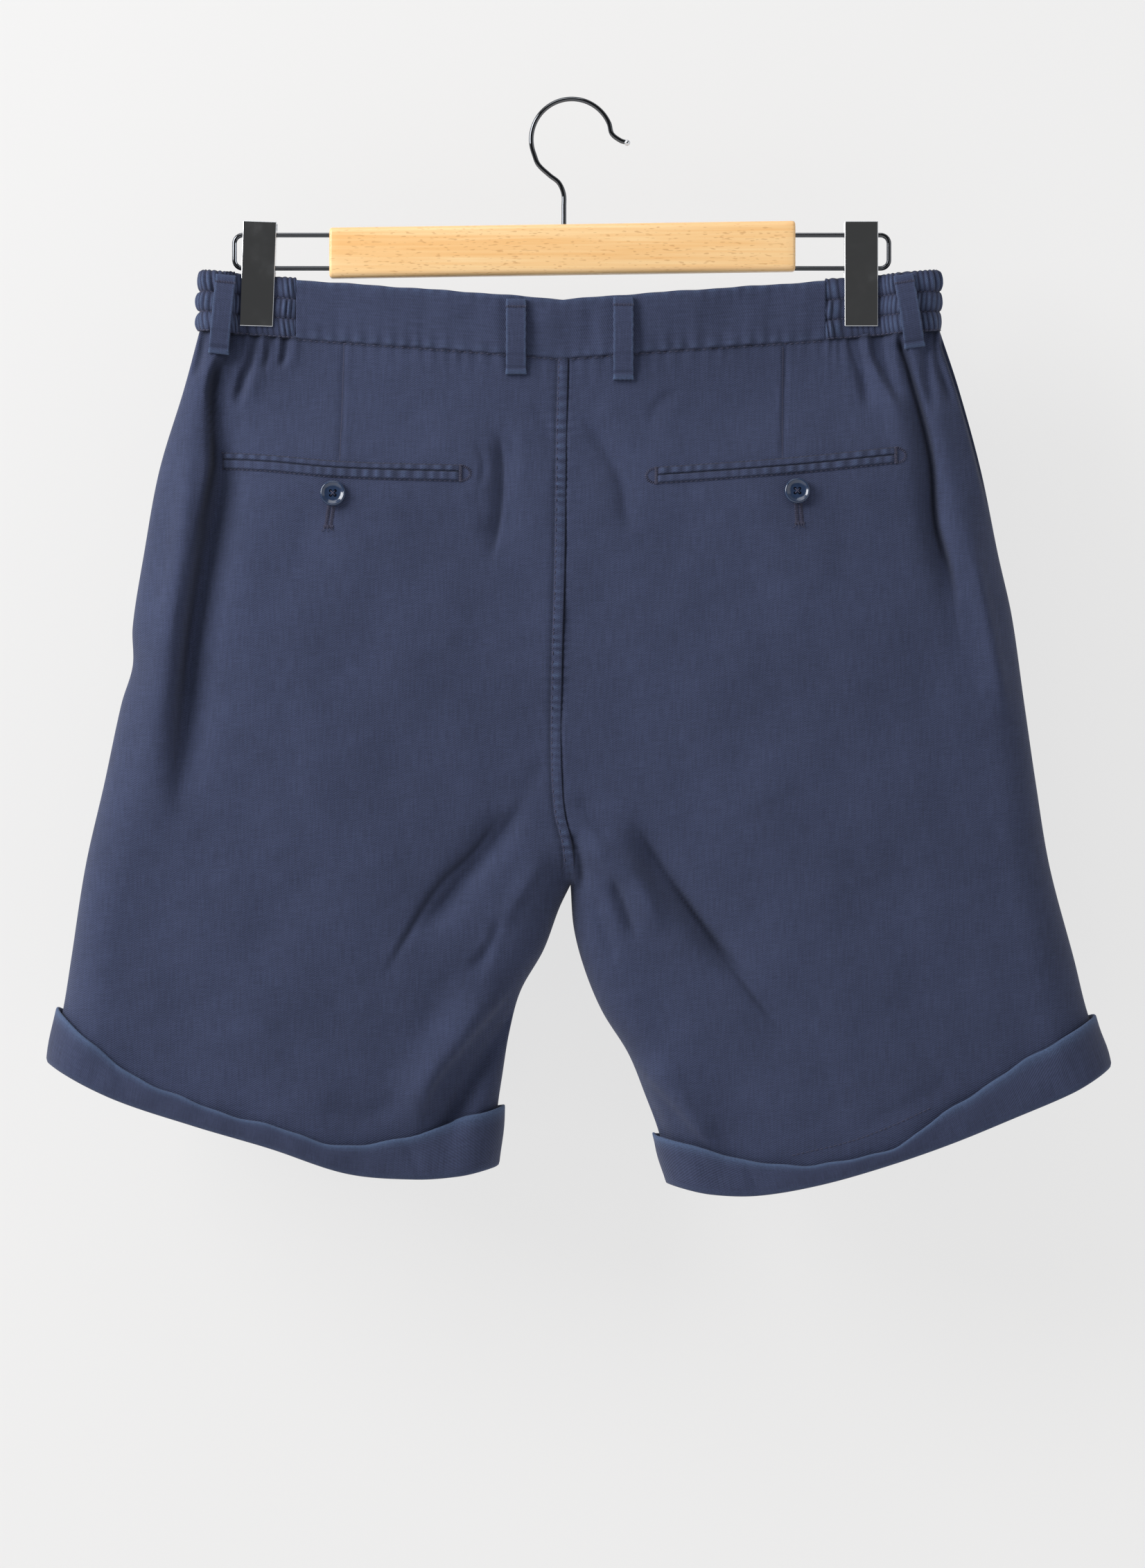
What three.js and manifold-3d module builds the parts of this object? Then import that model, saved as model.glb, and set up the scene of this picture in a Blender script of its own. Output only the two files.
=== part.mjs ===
// Bermuda shorts hung by the waist on a wooden clip hanger, their back to the viewer.
// Millimetres, +Z up. The origin is the inside top of the hanger's hook, where a rail carries it.
// The back of the shorts faces -Y and the wearer's left is at -X. Every cloth piece is a thin wall.

import * as THREE from 'three';
import { mergeVertices } from 'three/addons/utils/BufferGeometryUtils.js';
import Module from 'manifold-3d';

const wasm = await Module();
wasm.setup();

// Driving sizes of the cloth
const SEAM_GAP = 0.3;
const HALF_GAP = SEAM_GAP / 2;
const TWILL = 1.4;
const BAND_WALL = 2.0;
const BAND_PROUD = 0.6;
const BAND_HEIGHT = 34.5;
const ELASTIC_WALL = 2.6;
const CUFF_WALL = 2.2;
const CUFF_FLARE = 1.2;
const HEM_TURN = 1;
const CUFF_LAP = 0.6;
const LAID_ON = 0.5;
const LOOP = { width: 12, thick: 1.6, bow: { band: 2.6, elastic: 3.6 }, step: { band: 0, elastic: 0.6 } };

// Driving sizes of the hanger
const WIRE_RADIUS = 1.4;
const HOOK_RADIUS = 23.7;
const BALL_RADIUS = 1.9;
const HOOK = {
  ball: [32.3, -24.2],
  tip: [[31.5, -23.9], [28.4, -22.9]],
  arc: { from: 8, to: 205, step: 15 },
  stem: [[-19.5, -37], [-13, -43.2], [-7.6, -47.6], [-4.8, -54], [-4.6, -62], [-4.6, -71.7]],
};
const BAR = { length: 272, height: 29.4, depth: 12, tilt: 0.0147, x: -5.5, z: -86.8, round: 4 };
const WIRE_TOP_Z = -78.2;
const WIRE_BOTTOM_Z = -97.6;
const CLIP = { width: 19.6, plate: 1.2, top: -70.6, bottom: -132, jaw: 4.2, bevel: 0.8, clear: 0.4, boss: 1.2 };
const CLIP_X = { left: -182.2, right: 168.9 };
const CLIP_TILT = { left: 0.035, right: 0 };
const SIDE_WIRE = { bend: 4.9, left: { from: -142.2, to: -197.1 }, right: { from: 131.2, to: 185.3 } };

// Share of the way from band seam to hem at which the legs part
const CROTCH = 0.645;

// Outlines of one side each, from the top down: the side edge and the inseam. The hem's rows give how far
// it hangs below a straight line between its ends and the share at which its turn-up starts
const OUTLINE = {
  left: {
    side: [
      { x: -217.5, z: -134.5 }, { x: -226.5, z: -168 }, { x: -241, z: -216 }, { x: -250, z: -265 },
      { x: -256.5, z: -307 }, { x: -256.5, z: -330 }, { x: -263, z: -352 }, { x: -273, z: -398.5 },
      { x: -284, z: -447 }, { x: -292.5, z: -502 }, { x: -297, z: -530 }, { x: -304, z: -560 },
    ],
    inseam: [
      { x: -0.8, z: -458 }, { x: -7.3, z: -471.5 }, { x: -16.5, z: -496 }, { x: -30, z: -520 },
      { x: -36.5, z: -544 }, { x: -40.5, z: -568.5 }, { x: -43.5, z: -590 }, { x: -44.6, z: -620 },
    ],
    hem: [
      { u: 0, sag: 0, top: 0.931 }, { u: 0.08, sag: 9.2, top: 0.939 }, { u: 0.18, sag: 16.7, top: 0.952 },
      { u: 0.33, sag: 22, top: 0.973 }, { u: 0.5, sag: 17.5, top: 0.978 }, { u: 0.67, sag: 14.8, top: 0.977 },
      { u: 0.85, sag: 10.2, top: 0.962 }, { u: 1, sag: 0, top: 0.931 },
    ],
    clip: CLIP_X.left,
    sign: -1,
  },
  right: {
    side: [
      { x: 215, z: -134.5 }, { x: 226, z: -168 }, { x: 239, z: -216 }, { x: 249, z: -265 },
      { x: 257, z: -301 }, { x: 264, z: -350 }, { x: 271, z: -398.5 }, { x: 279, z: -447 },
      { x: 293.5, z: -502 }, { x: 301, z: -532 }, { x: 312.5, z: -563 },
    ],
    inseam: [
      { x: -0.8, z: -458 }, { x: 1.2, z: -483.5 }, { x: 7.7, z: -508 }, { x: 17.8, z: -532 },
      { x: 33, z: -556.5 }, { x: 43, z: -581 }, { x: 51, z: -603 }, { x: 57, z: -630 },
    ],
    hem: [
      { u: 0, sag: 0, top: 0.947 }, { u: 0.095, sag: 11.2, top: 0.951 }, { u: 0.2, sag: 18.6, top: 0.967 },
      { u: 0.34, sag: 21.5, top: 0.981 }, { u: 0.5, sag: 20.3, top: 0.987 },
      { u: 0.637, sag: 17.3, top: 0.968 }, { u: 0.772, sag: 12.4, top: 0.951 },
      { u: 0.908, sag: 6.8, top: 0.937 }, { u: 1, sag: 0, top: 0.933 },
    ],
    clip: CLIP_X.right,
    sign: 1,
  },
};
const CENTRE_SEAM = [
  { x: -5, z: -151.5 }, { x: -6, z: -193 }, { x: -7, z: -271 }, { x: -8.6, z: -330 },
  { x: -9, z: -385 }, { x: -7, z: -416 }, { x: -2.6, z: -434 }, { x: -0.8, z: -458 },
];

// How far each face stands from the flat middle plane: at the centre, half way and near the side
const DEPTH = {
  back: [
    { v: 0.0, centre: 13, middle: 12, side: 12 }, { v: 0.2, centre: 23, middle: 25, side: 18 },
    { v: 0.4, centre: 26, middle: 30, side: 23 }, { v: 0.6, centre: 25, middle: 32, side: 26 },
    { v: 0.8, centre: 24, middle: 33, side: 28 }, { v: 1.0, centre: 24, middle: 33, side: 29 },
  ],
  front: [
    { v: 0.0, centre: 13, middle: 12, side: 12 }, { v: 0.2, centre: 18, middle: 19, side: 15 },
    { v: 0.4, centre: 20, middle: 24, side: 20 }, { v: 0.6, centre: 20, middle: 27, side: 23 },
    { v: 0.8, centre: 20, middle: 28, side: 25 }, { v: 1.0, centre: 21, middle: 29, side: 27 },
  ],
};
// Radius of the turned edges at the band and lower down, the drop over which the legs fill out,
// the drop over which folds begin and the least depth of a face
const EDGE_ROUND = { band: 9, body: 26, drop: 95, foldStart: 30, least: 2 };
// Half depth of the waist ring under a clip, at the centre and at the ends
const BAND_DEPTH = { clip: 3.75, centre: 13, end: 9, clipHalf: 10.5, endRun: 13, opening: 1.25 };

// Largest folds: a route in the outline plane, its height out of the cloth and its two flank widths
const FOLDS = {
  back: [
    {
      route: [
        [-204, -150], [-205, -204], [-203, -222], [-211, -262], [-220, -310], [-224, -364], [-226, -430],
      ],
      height: -9,
      flanks: [5, 16],
    },
    {
      route: [[-216, -190], [-222, -262], [-234, -320], [-240, -380], [-246, -450]],
      height: 5,
      flanks: [14, 9],
    },
    {
      route: [[189, -140], [201, -174], [210, -209], [213, -251], [217, -283], [221, -311]],
      height: -5,
      flanks: [12, 5],
    },
    { route: [[224, -225], [233, -268], [254, -369]], height: 3.5, flanks: [9, 9] },
    { route: [[-40, -190], [-40.5, -238], [-46.5, -273]], height: -3.5, flanks: [9, 12] },
    { route: [[5, -186], [27, -219], [32, -258]], height: -2.5, flanks: [8, 10] },
    { route: [[-32, -410], [-69, -460], [-91, -490]], height: -5, flanks: [9, 12] },
    {
      route: [[4.5, -425], [18, -440], [36.5, -453.5], [48, -477], [53.5, -490.5]],
      height: 5,
      flanks: [8, 7],
    },
    { route: [[31.5, -416], [60, -460], [85, -492], [110, -520]], height: -5.5, flanks: [10, 11] },
    { route: [[-40, -512], [-67, -545], [-85, -570], [-98, -605]], height: 4.5, flanks: [14, 9] },
    { route: [[-22, -512], [-52, -556], [-68, -590], [-74, -625]], height: -8, flanks: [13, 9] },
    { route: [[42, -556], [64, -580], [82, -612]], height: 4, flanks: [9, 14] },
  ],
  front: [
    { route: [[-205, -150], [-212, -240], [-222, -330], [-228, -420]], height: -6, flanks: [6, 15] },
    { route: [[196, -145], [212, -230], [222, -320], [230, -400]], height: -5, flanks: [14, 6] },
    { route: [[-60, -250], [-72, -320], [-78, -380]], height: -3, flanks: [10, 12] },
    { route: [[70, -230], [84, -300], [88, -370]], height: -3, flanks: [12, 10] },
    { route: [[-14, -432], [-52, -468], [-90, -500]], height: -5, flanks: [9, 11] },
    { route: [[12, -428], [54, -466], [96, -505]], height: -5, flanks: [11, 9] },
    { route: [[-60, -520], [-84, -565], [-92, -610]], height: 4, flanks: [12, 10] },
    { route: [[84, -540], [104, -580], [112, -620]], height: 4, flanks: [10, 12] },
  ],
};
// Share of a fold's route over which it rises and dies away
const FOLD_FADE = { start: 0.25, end: 0.3 };
// Gathers that fan out below each elastic end, from the seam down, each lower than the one before
const GATHERS = {
  count: 5, first: 7, pitch: 10.5, uneven: 1.6, width: 3.4, fan: 0.1, run: 62,
  height: 1.7, wane: 0.12, rise: 0.2,
};
// Shirring of the elastic ends: three rows of bulges crossed by narrow ruffles, flat under the clip
const SHIRRING = {
  rows: 3, bulge: 1.1, ruffle: 0.75, steps: 15, pinch: 12, loosen: 5, end: 0.4,
  levels: [0, 0.17, 1 / 3, 0.5, 2 / 3, 0.84, 1],
};
// Columns of a panel: the angles at which its round edges are cut and the spans between them
const COLUMNS = { turns: [0, 22, 45, 67], spans: 9 };
const WELT = { height: 10, thick: 1.7, edge: 0.5, slit: 0.06, lip: 0.42, lift: 0.6, columns: 16 };
const BUTTON = {
  thick: 3, edge: 0.8, rim: 1.2, well: 2.4, sunk: 0.9, hole: { radius: 0.85, out: 1.5 },
  pocket: { radius: 7.5, lift: 0.9 }, waist: { radius: 8.5, lift: 0.5 },
};
const FLY = { x: -17, top: -153, bottom: -320, width: 34, turn: 0.92, curve: 6 };
const FRONT_POCKET = { width: 12, top: -145, bottom: -262 };

const mix = (a, b, t) => a + (b - a) * t;
const clamp = (t) => Math.min(1, Math.max(0, t));
const ease = (t) => clamp(t) ** 2 * (3 - 2 * clamp(t));

// Value at a place on the smooth line through values that belong to rising stations
function smooth(stations, values, at) {
  let i = 0;
  while (i < stations.length - 2 && stations[i + 1] < at) i += 1;
  const span = stations[i + 1] - stations[i];
  const s = (at - stations[i]) / span;
  const slope = (k) => {
    const a = Math.max(0, k - 1);
    const b = Math.min(stations.length - 1, k + 1);
    return (values[b] - values[a]) / (stations[b] - stations[a]);
  };
  const [s2, s3] = [s * s, s * s * s];
  const ends = (2 * s3 - 3 * s2 + 1) * values[i] + (3 * s2 - 2 * s3) * values[i + 1];
  return ends + span * ((s3 - 2 * s2 + s) * slope(i) + (s3 - s2) * slope(i + 1));
}

// Point at share t of a smooth line through the given points, by length
function along(points, t) {
  const reach = [0];
  for (let i = 1; i < points.length; i += 1) {
    reach.push(reach[i - 1] + Math.hypot(points[i].x - points[i - 1].x, points[i].z - points[i - 1].z));
  }
  const at = clamp(t) * reach[reach.length - 1];
  return { x: smooth(reach, points.map((p) => p.x), at), z: smooth(reach, points.map((p) => p.z), at) };
}

// Column of a hem's table at share u across a leg
const hemAt = (half, u, column) => smooth(half.hem.map((row) => row.u), half.hem.map((row) => row[column]), u);

// Row of a table at share v, its columns eased between the rows
function rowAt(rows, v) {
  let i = 0;
  while (i < rows.length - 2 && rows[i + 1].v < v) i += 1;
  const t = ease((v - rows[i].v) / (rows[i + 1].v - rows[i].v));
  const mixed = {};
  for (const name of Object.keys(rows[i])) mixed[name] = mix(rows[i][name], rows[i + 1][name], t);
  return mixed;
}

// Point of a panel in the outline plane: u runs from the inner edge to the side, v from band to hem
function outlinePoint(half, u, v) {
  const inner = v < CROTCH ? along(CENTRE_SEAM, v / CROTCH) : along(half.inseam, (v - CROTCH) / (1 - CROTCH));
  const side = along(half.side, v);
  const sag = hemAt(half, u, 'sag') * v * v;
  return { x: mix(inner.x, side.x, u), z: mix(inner.z, side.z, u) - sag, width: Math.abs(side.x - inner.x) };
}

// Signed distance from a route and how far along it the nearest place is
function nearRoute(route, x, z) {
  let best = { distance: Infinity, side: 1, share: 0 };
  for (let i = 0; i < route.length - 1; i += 1) {
    const [ax, az] = route[i];
    const [dx, dz] = [route[i + 1][0] - ax, route[i + 1][1] - az];
    const t = clamp(((x - ax) * dx + (z - az) * dz) / (dx * dx + dz * dz));
    const [px, pz] = [x - ax - t * dx, z - az - t * dz];
    const distance = Math.hypot(px, pz);
    if (distance < best.distance) {
      best = { distance, side: Math.sign(px), share: (i + t) / (route.length - 1) };
    }
  }
  return best;
}

// Height of all folds of a face at a place; a route fades at both ends
function foldHeight(face, x, z) {
  let height = 0;
  for (const fold of FOLDS[face]) {
    const near = nearRoute(fold.route, x, z);
    const width = near.side < 0 ? fold.flanks[0] : fold.flanks[1];
    const fade = ease(near.share / FOLD_FADE.start) * ease((1 - near.share) / FOLD_FADE.end);
    height += fold.height * fade * Math.exp(-((near.distance / width) ** 2));
  }
  return height;
}

// Height of the gathers below an elastic end
function gatherHeight(half, x, z, seamZ) {
  const drop = (seamZ - z) / GATHERS.run;
  if (drop < 0 || drop > 1) return 0;
  const fromSide = Math.abs(half.side[0].x - x) + (seamZ - z) * GATHERS.fan;
  let height = 0;
  for (let i = 0; i < GATHERS.count; i += 1) {
    const at = GATHERS.first + i * GATHERS.pitch + GATHERS.uneven * Math.sin(2.3 * i);
    const tall = GATHERS.height * (1 - GATHERS.wane * i) * (1 - drop) * ease(drop / GATHERS.rise);
    height += tall * Math.exp(-(((fromSide - at) / GATHERS.width) ** 2));
  }
  return height;
}

// Half depth of the waist ring at x: pinched by the clip, open at the centre and at the end
function bandDepth(half, x) {
  const out = (x - half.clip) * half.sign;
  const past = Math.abs(out) - BAND_DEPTH.clipHalf;
  if (past <= 0) return BAND_DEPTH.clip;
  if (out > 0) return mix(BAND_DEPTH.clip, BAND_DEPTH.end, ease(past / BAND_DEPTH.endRun));
  const run = Math.abs(half.clip - CENTRE_SEAM[0].x) - BAND_DEPTH.clipHalf;
  return mix(BAND_DEPTH.clip, BAND_DEPTH.centre, ease((past / run) * BAND_DEPTH.opening));
}

const rounded = (distance, radius) => Math.sqrt(1 - (1 - clamp(distance / radius)) ** 2);

// Outside of a panel before its wall is given: a point on the back or the front face
function panelPoint(half, face, u, v) {
  const flat = outlinePoint(half, u, v);
  const top = outlinePoint(half, u, 0);
  const row = rowAt(DEPTH[face], v);
  const nearCentre = mix(row.centre, row.middle, ease(u * 2));
  const middle = u < 0.5 ? nearCentre : mix(row.middle, row.side, ease(u * 2 - 1));
  const fall = top.z - flat.z;
  const body = ease(fall / EDGE_ROUND.drop);
  const radius = mix(EDGE_ROUND.band, EDGE_ROUND.body, body);
  const sideCap = rounded((1 - u) * flat.width, radius);
  const crotch = CENTRE_SEAM[CENTRE_SEAM.length - 1];
  const above = v < CROTCH ? along(CENTRE_SEAM, v / CROTCH).z - crotch.z : 0;
  const innerCap = rounded(Math.hypot(u * flat.width, above), EDGE_ROUND.body);
  const cap = sideCap * innerCap;
  const folded = foldHeight(face, flat.x, flat.z) * body * ease(fall / EDGE_ROUND.foldStart);
  const gathered = gatherHeight(half, flat.x, flat.z, top.z);
  const depth = mix(bandDepth(half, flat.x), middle, body) + folded + gathered;
  const away = Math.max(depth, EDGE_ROUND.least) * cap;
  return new THREE.Vector3(flat.x, (face === 'back' ? -1 : 1) * away, flat.z);
}

// Unit normal out of a panel, by small steps along it
function panelNormal(half, face, u, v) {
  const step = 0.004;
  const du = panelPoint(half, face, Math.min(1, u + step), v);
  du.sub(panelPoint(half, face, Math.max(0, u - step), v));
  const dv = panelPoint(half, face, u, Math.min(1, v + step));
  dv.sub(panelPoint(half, face, u, Math.max(0, v - step)));
  const normal = du.cross(dv).normalize();
  const facing = face === 'back' ? -1 : 1;
  return normal.y * facing < 0 ? normal.negate() : normal;
}

// Places of the columns across a panel: close together where its edges turn, even between
function columnShares(width) {
  const turned = (degrees) => EDGE_ROUND.body * (1 - Math.cos(THREE.MathUtils.degToRad(degrees)));
  const inner = COLUMNS.turns.map((degrees) => turned(degrees) / width);
  const middle = [];
  const [first, last] = [EDGE_ROUND.body / width, 1 - EDGE_ROUND.body / width];
  for (let i = 0; i <= COLUMNS.spans; i += 1) middle.push(mix(first, last, i / COLUMNS.spans));
  return [...inner, ...middle, ...inner.map((u) => 1 - u).reverse()];
}

const ROW_SHARES = [
  0, 0.03, 0.07, 0.12, 0.18, 0.24, 0.31, 0.38, 0.45, 0.52, 0.58, 0.61, 0.63, 0.64, CROTCH, 0.655, 0.68, 0.72,
  0.77, 0.83, 0.88, 0.92, 0.96, 1,
];

// Closed mesh between two grids of points; wrap joins the last column to the first
function wall(outer, inner, wrap = false) {
  const [rows, columns] = [outer.length, outer[0].length];
  const points = [...outer.flat(), ...inner.flat()];
  const index = [];
  const at = (layer, r, c) => layer * rows * columns + r * columns + (c % columns);
  const quad = (a, b, c, d) => index.push(a, b, c, a, c, d);
  const across = wrap ? columns : columns - 1;
  for (let r = 0; r < rows - 1; r += 1) {
    for (let c = 0; c < across; c += 1) {
      quad(at(0, r, c), at(0, r, c + 1), at(0, r + 1, c + 1), at(0, r + 1, c));
      quad(at(1, r, c), at(1, r + 1, c), at(1, r + 1, c + 1), at(1, r, c + 1));
    }
  }
  for (let c = 0; c < across; c += 1) {
    quad(at(0, 0, c), at(1, 0, c), at(1, 0, c + 1), at(0, 0, c + 1));
    quad(at(0, rows - 1, c), at(0, rows - 1, c + 1), at(1, rows - 1, c + 1), at(1, rows - 1, c));
  }
  if (!wrap) {
    const last = columns - 1;
    for (let r = 0; r < rows - 1; r += 1) {
      quad(at(0, r, 0), at(0, r + 1, 0), at(1, r + 1, 0), at(1, r, 0));
      quad(at(0, r, last), at(1, r, last), at(1, r + 1, last), at(0, r + 1, last));
    }
  }
  const geometry = new THREE.BufferGeometry();
  const numbers = points.flatMap((p) => [p.x, p.y, p.z]);
  geometry.setAttribute('position', new THREE.Float32BufferAttribute(numbers, 3));
  if (signedVolume(points, index) < 0) index.reverse();
  geometry.setIndex(index);
  return geometry;
}

function signedVolume(points, index) {
  let volume = 0;
  const cross = new THREE.Vector3();
  for (let i = 0; i < index.length; i += 3) {
    cross.crossVectors(points[index[i + 1]], points[index[i + 2]]);
    volume += points[index[i]].dot(cross);
  }
  return volume;
}

const moved = (point, direction, distance) => point.clone().addScaledVector(direction, distance);

// Outer and inner points of a leg's panel, from the band seam to the hem, with the outward normals
function panelGrid(half, face) {
  const grid = { outer: [], inner: [], normals: [] };
  const facing = face === 'back' ? -1 : 1;
  for (const v of ROW_SHARES) {
    const rows = { outer: [], inner: [], normals: [] };
    const shares = columnShares(outlinePoint(half, 0.5, v).width);
    shares.forEach((u, column) => {
      const point = panelPoint(half, face, u, v);
      const normal = panelNormal(half, face, u, v);
      if (v === 0 || v === 1) normal.z = 0;
      if (v === 0) point.z -= HALF_GAP;
      if (column === 0 && v <= CROTCH) {
        point.x += half.sign * HALF_GAP;
        normal.x = 0;
      }
      if ((column === 0 && v >= CROTCH) || column === shares.length - 1) {
        point.y = facing * HALF_GAP;
        normal.y = 0;
      }
      if (normal.lengthSq() < 1e-6) normal.set(0, 0, -1);
      normal.normalize();
      rows.outer.push(point);
      rows.normals.push(normal);
      rows.inner.push(moved(point, normal, -TWILL));
    });
    grid.outer.push(rows.outer);
    grid.inner.push(rows.inner);
    grid.normals.push(rows.normals);
  }
  return grid;
}

const GRIDS = {};
for (const side of ['left', 'right']) {
  for (const face of ['back', 'front']) GRIDS[`${face}_${side}`] = panelGrid(OUTLINE[side], face);
}

// Place and normal on a panel's own facets, at share v down one of its columns
function downColumn(grid, column, v) {
  let r = 0;
  while (r < ROW_SHARES.length - 2 && ROW_SHARES[r + 1] < v) r += 1;
  const t = (v - ROW_SHARES[r]) / (ROW_SHARES[r + 1] - ROW_SHARES[r]);
  const point = grid.outer[r][column].clone().lerp(grid.outer[r + 1][column], t);
  const normal = grid.normals[r][column].clone().lerp(grid.normals[r + 1][column], t).normalize();
  return { point, normal };
}

// Turn-up of a leg: one ring round both panels, made from their lowest points moved out; its upper edge
// droops most across the middle of the leg
function cuff(side) {
  const half = OUTLINE[side];
  const outer = [];
  const inner = [];
  for (const share of [0, 0.5, 1]) {
    const rows = ['back', 'front'].map((face) => {
      const grid = GRIDS[`${face}_${side}`];
      const shares = columnShares(outlinePoint(half, 0.5, 1).width);
      return shares.map((u, column) => downColumn(grid, column, mix(hemAt(half, u, 'top'), 1, share)));
    });
    const ring = [...rows[0], ...rows[1].reverse()];
    const lap = CUFF_LAP + CUFF_FLARE * (1 - share);
    for (const { point } of ring) point.z -= share === 1 ? HEM_TURN : 0;
    inner.push(ring.map(({ point, normal }) => moved(point, normal, lap)));
    outer.push(ring.map(({ point, normal }) => moved(point, normal, lap + CUFF_WALL)));
  }
  return wall(outer, inner, true);
}

// Point of the waist ring's plan at x on one face, with its distance along the seam's slope
function bandPlan(x, face) {
  const half = x < CENTRE_SEAM[0].x ? OUTLINE.left : OUTLINE.right;
  const tip = half.side[0].x;
  const depth = bandDepth(half, x) * rounded(Math.abs(tip - x), EDGE_ROUND.band);
  const share = (x - CENTRE_SEAM[0].x) / (tip - CENTRE_SEAM[0].x);
  const seam = mix(CENTRE_SEAM[0].z, half.side[0].z, share);
  return { x, y: (face === 'back' ? -1 : 1) * depth, seam };
}

// Waistband between two x places on one face, its ends cut straight
function bandWall(face, from, to, columns, lap = () => 0) {
  const outer = [];
  const inner = [];
  const facing = face === 'back' ? -1 : 1;
  for (const share of [0, 0.5, 1]) {
    outer.push([]);
    inner.push([]);
    for (let i = 0; i <= columns; i += 1) {
      const x = mix(from, to, i / columns);
      const plan = bandPlan(x, face);
      const z = plan.seam + HALF_GAP + BAND_HEIGHT * share;
      const y = plan.y + facing * (BAND_PROUD - lap(x));
      outer.at(-1).push(new THREE.Vector3(x, y, z));
      inner.at(-1).push(new THREE.Vector3(x, y - facing * BAND_WALL, z));
    }
  }
  return wall(outer, inner);
}

// Elastic end of the waist, round from the back to the front, shirred in rows of bulges
function elasticEnd(half, backX, frontX) {
  const tip = half.side[0].x;
  const plan = [];
  const bend = tip - half.sign * EDGE_ROUND.band;
  const straight = (from, i) => mix(from, bend, i / (SHIRRING.steps - 1));
  const turn = (degrees) => mix(bend, tip, Math.sin(THREE.MathUtils.degToRad(degrees)));
  for (let i = 0; i < SHIRRING.steps; i += 1) plan.push(bandPlan(straight(backX, i), 'back'));
  for (const degrees of [30, 60]) plan.push(bandPlan(turn(degrees), 'back'));
  plan.push({ x: tip, y: 0, seam: half.side[0].z });
  for (const degrees of [60, 30]) plan.push(bandPlan(turn(degrees), 'front'));
  for (let i = SHIRRING.steps - 1; i >= 0; i -= 1) plan.push(bandPlan(straight(frontX, i), 'front'));
  const outer = SHIRRING.levels.map(() => []);
  const inner = SHIRRING.levels.map(() => []);
  plan.forEach((place, i) => {
    const before = plan[Math.max(0, i - 1)];
    const after = plan[Math.min(plan.length - 1, i + 1)];
    const way = new THREE.Vector3(before.y - after.y, after.x - before.x, 0).normalize();
    way.multiplyScalar(-half.sign);
    const end = i === 0 || i === plan.length - 1;
    if (end) way.set(0, Math.sign(place.y), 0);
    const fromClip = Math.abs(place.x - half.clip);
    const loose = ease((fromClip - SHIRRING.pinch) / SHIRRING.loosen) * (end ? SHIRRING.end : 1);
    SHIRRING.levels.forEach((share, row) => {
      const bulge = SHIRRING.bulge * Math.abs(Math.sin(Math.PI * share * SHIRRING.rows));
      const ruffle = i % 2 === 0 ? SHIRRING.ruffle : 0;
      const base = new THREE.Vector3(place.x, place.y, place.seam + HALF_GAP + BAND_HEIGHT * share);
      outer[row].push(moved(base, way, loose * (bulge + ruffle)));
      inner[row].push(moved(base, way, -ELASTIC_WALL));
    });
  });
  return wall(outer, inner);
}

// Share u, v of a panel that lies at a place of the outline plane, by repeated straight steps
function locate(half, x, z) {
  let [u, v] = [0.5, 0.4];
  const step = 0.001;
  for (let i = 0; i < 20; i += 1) {
    const p = outlinePoint(half, u, v);
    const pu = outlinePoint(half, u + step, v);
    const pv = outlinePoint(half, u, v + step);
    const [a, b] = [(pu.x - p.x) / step, (pv.x - p.x) / step];
    const [c, d] = [(pu.z - p.z) / step, (pv.z - p.z) / step];
    const turn = a * d - b * c;
    u = clamp(u + (d * (x - p.x) - b * (z - p.z)) / turn);
    v = clamp(v + (a * (z - p.z) - c * (x - p.x)) / turn);
  }
  return { u, v };
}

// Piece that lies on a panel or on the band, made from its points moved out
function laid(face, rowPoints, thick, lift) {
  const outer = [];
  const inner = [];
  rowPoints.forEach((row, r) => {
    outer.push([]);
    inner.push([]);
    row.forEach((place, c) => {
      const { point, normal } = surfaceAt(face, place.x, place.z);
      outer.at(-1).push(moved(point, normal, lift(r, c) + thick(r, c)));
      inner.at(-1).push(moved(point, normal, lift(r, c)));
    });
  });
  return wall(outer, inner);
}

// Place and normal of the cloth's outside at x, z, on the band above its seam and on a panel below
function surfaceAt(face, x, z) {
  const plan = bandPlan(x, face);
  const facing = face === 'back' ? -1 : 1;
  if (z > plan.seam) {
    const point = new THREE.Vector3(x, plan.y + facing * BAND_PROUD, z);
    return { point, normal: new THREE.Vector3(0, facing, 0) };
  }
  const side = x < CENTRE_SEAM[0].x ? 'left' : 'right';
  const { u, v } = locate(OUTLINE[side], x, z);
  const y = facetDepth(GRIDS[`${face}_${side}`].outer, x, z) || panelPoint(OUTLINE[side], face, u, v).y;
  return { point: new THREE.Vector3(x, y, z), normal: panelNormal(OUTLINE[side], face, u, v) };
}

// Depth of a grid's facet at x, z, the farthest one from the middle plane, or 0 where there is none
function facetDepth(grid, x, z) {
  let found = 0;
  const test = (a, b, c) => {
    const area = (b.x - a.x) * (c.z - a.z) - (c.x - a.x) * (b.z - a.z);
    const toB = ((x - a.x) * (c.z - a.z) - (c.x - a.x) * (z - a.z)) / area;
    const toC = ((b.x - a.x) * (z - a.z) - (x - a.x) * (b.z - a.z)) / area;
    if (toB < -1e-6 || toC < -1e-6 || toB + toC > 1 + 1e-6) return;
    const y = a.y + toB * (b.y - a.y) + toC * (c.y - a.y);
    if (Math.abs(y) > Math.abs(found)) found = y;
  };
  for (let r = 0; r < grid.length - 1; r += 1) {
    for (let c = 0; c < grid[r].length - 1; c += 1) {
      test(grid[r][c], grid[r][c + 1], grid[r + 1][c + 1]);
      test(grid[r][c], grid[r + 1][c + 1], grid[r + 1][c]);
    }
  }
  return found;
}

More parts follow.
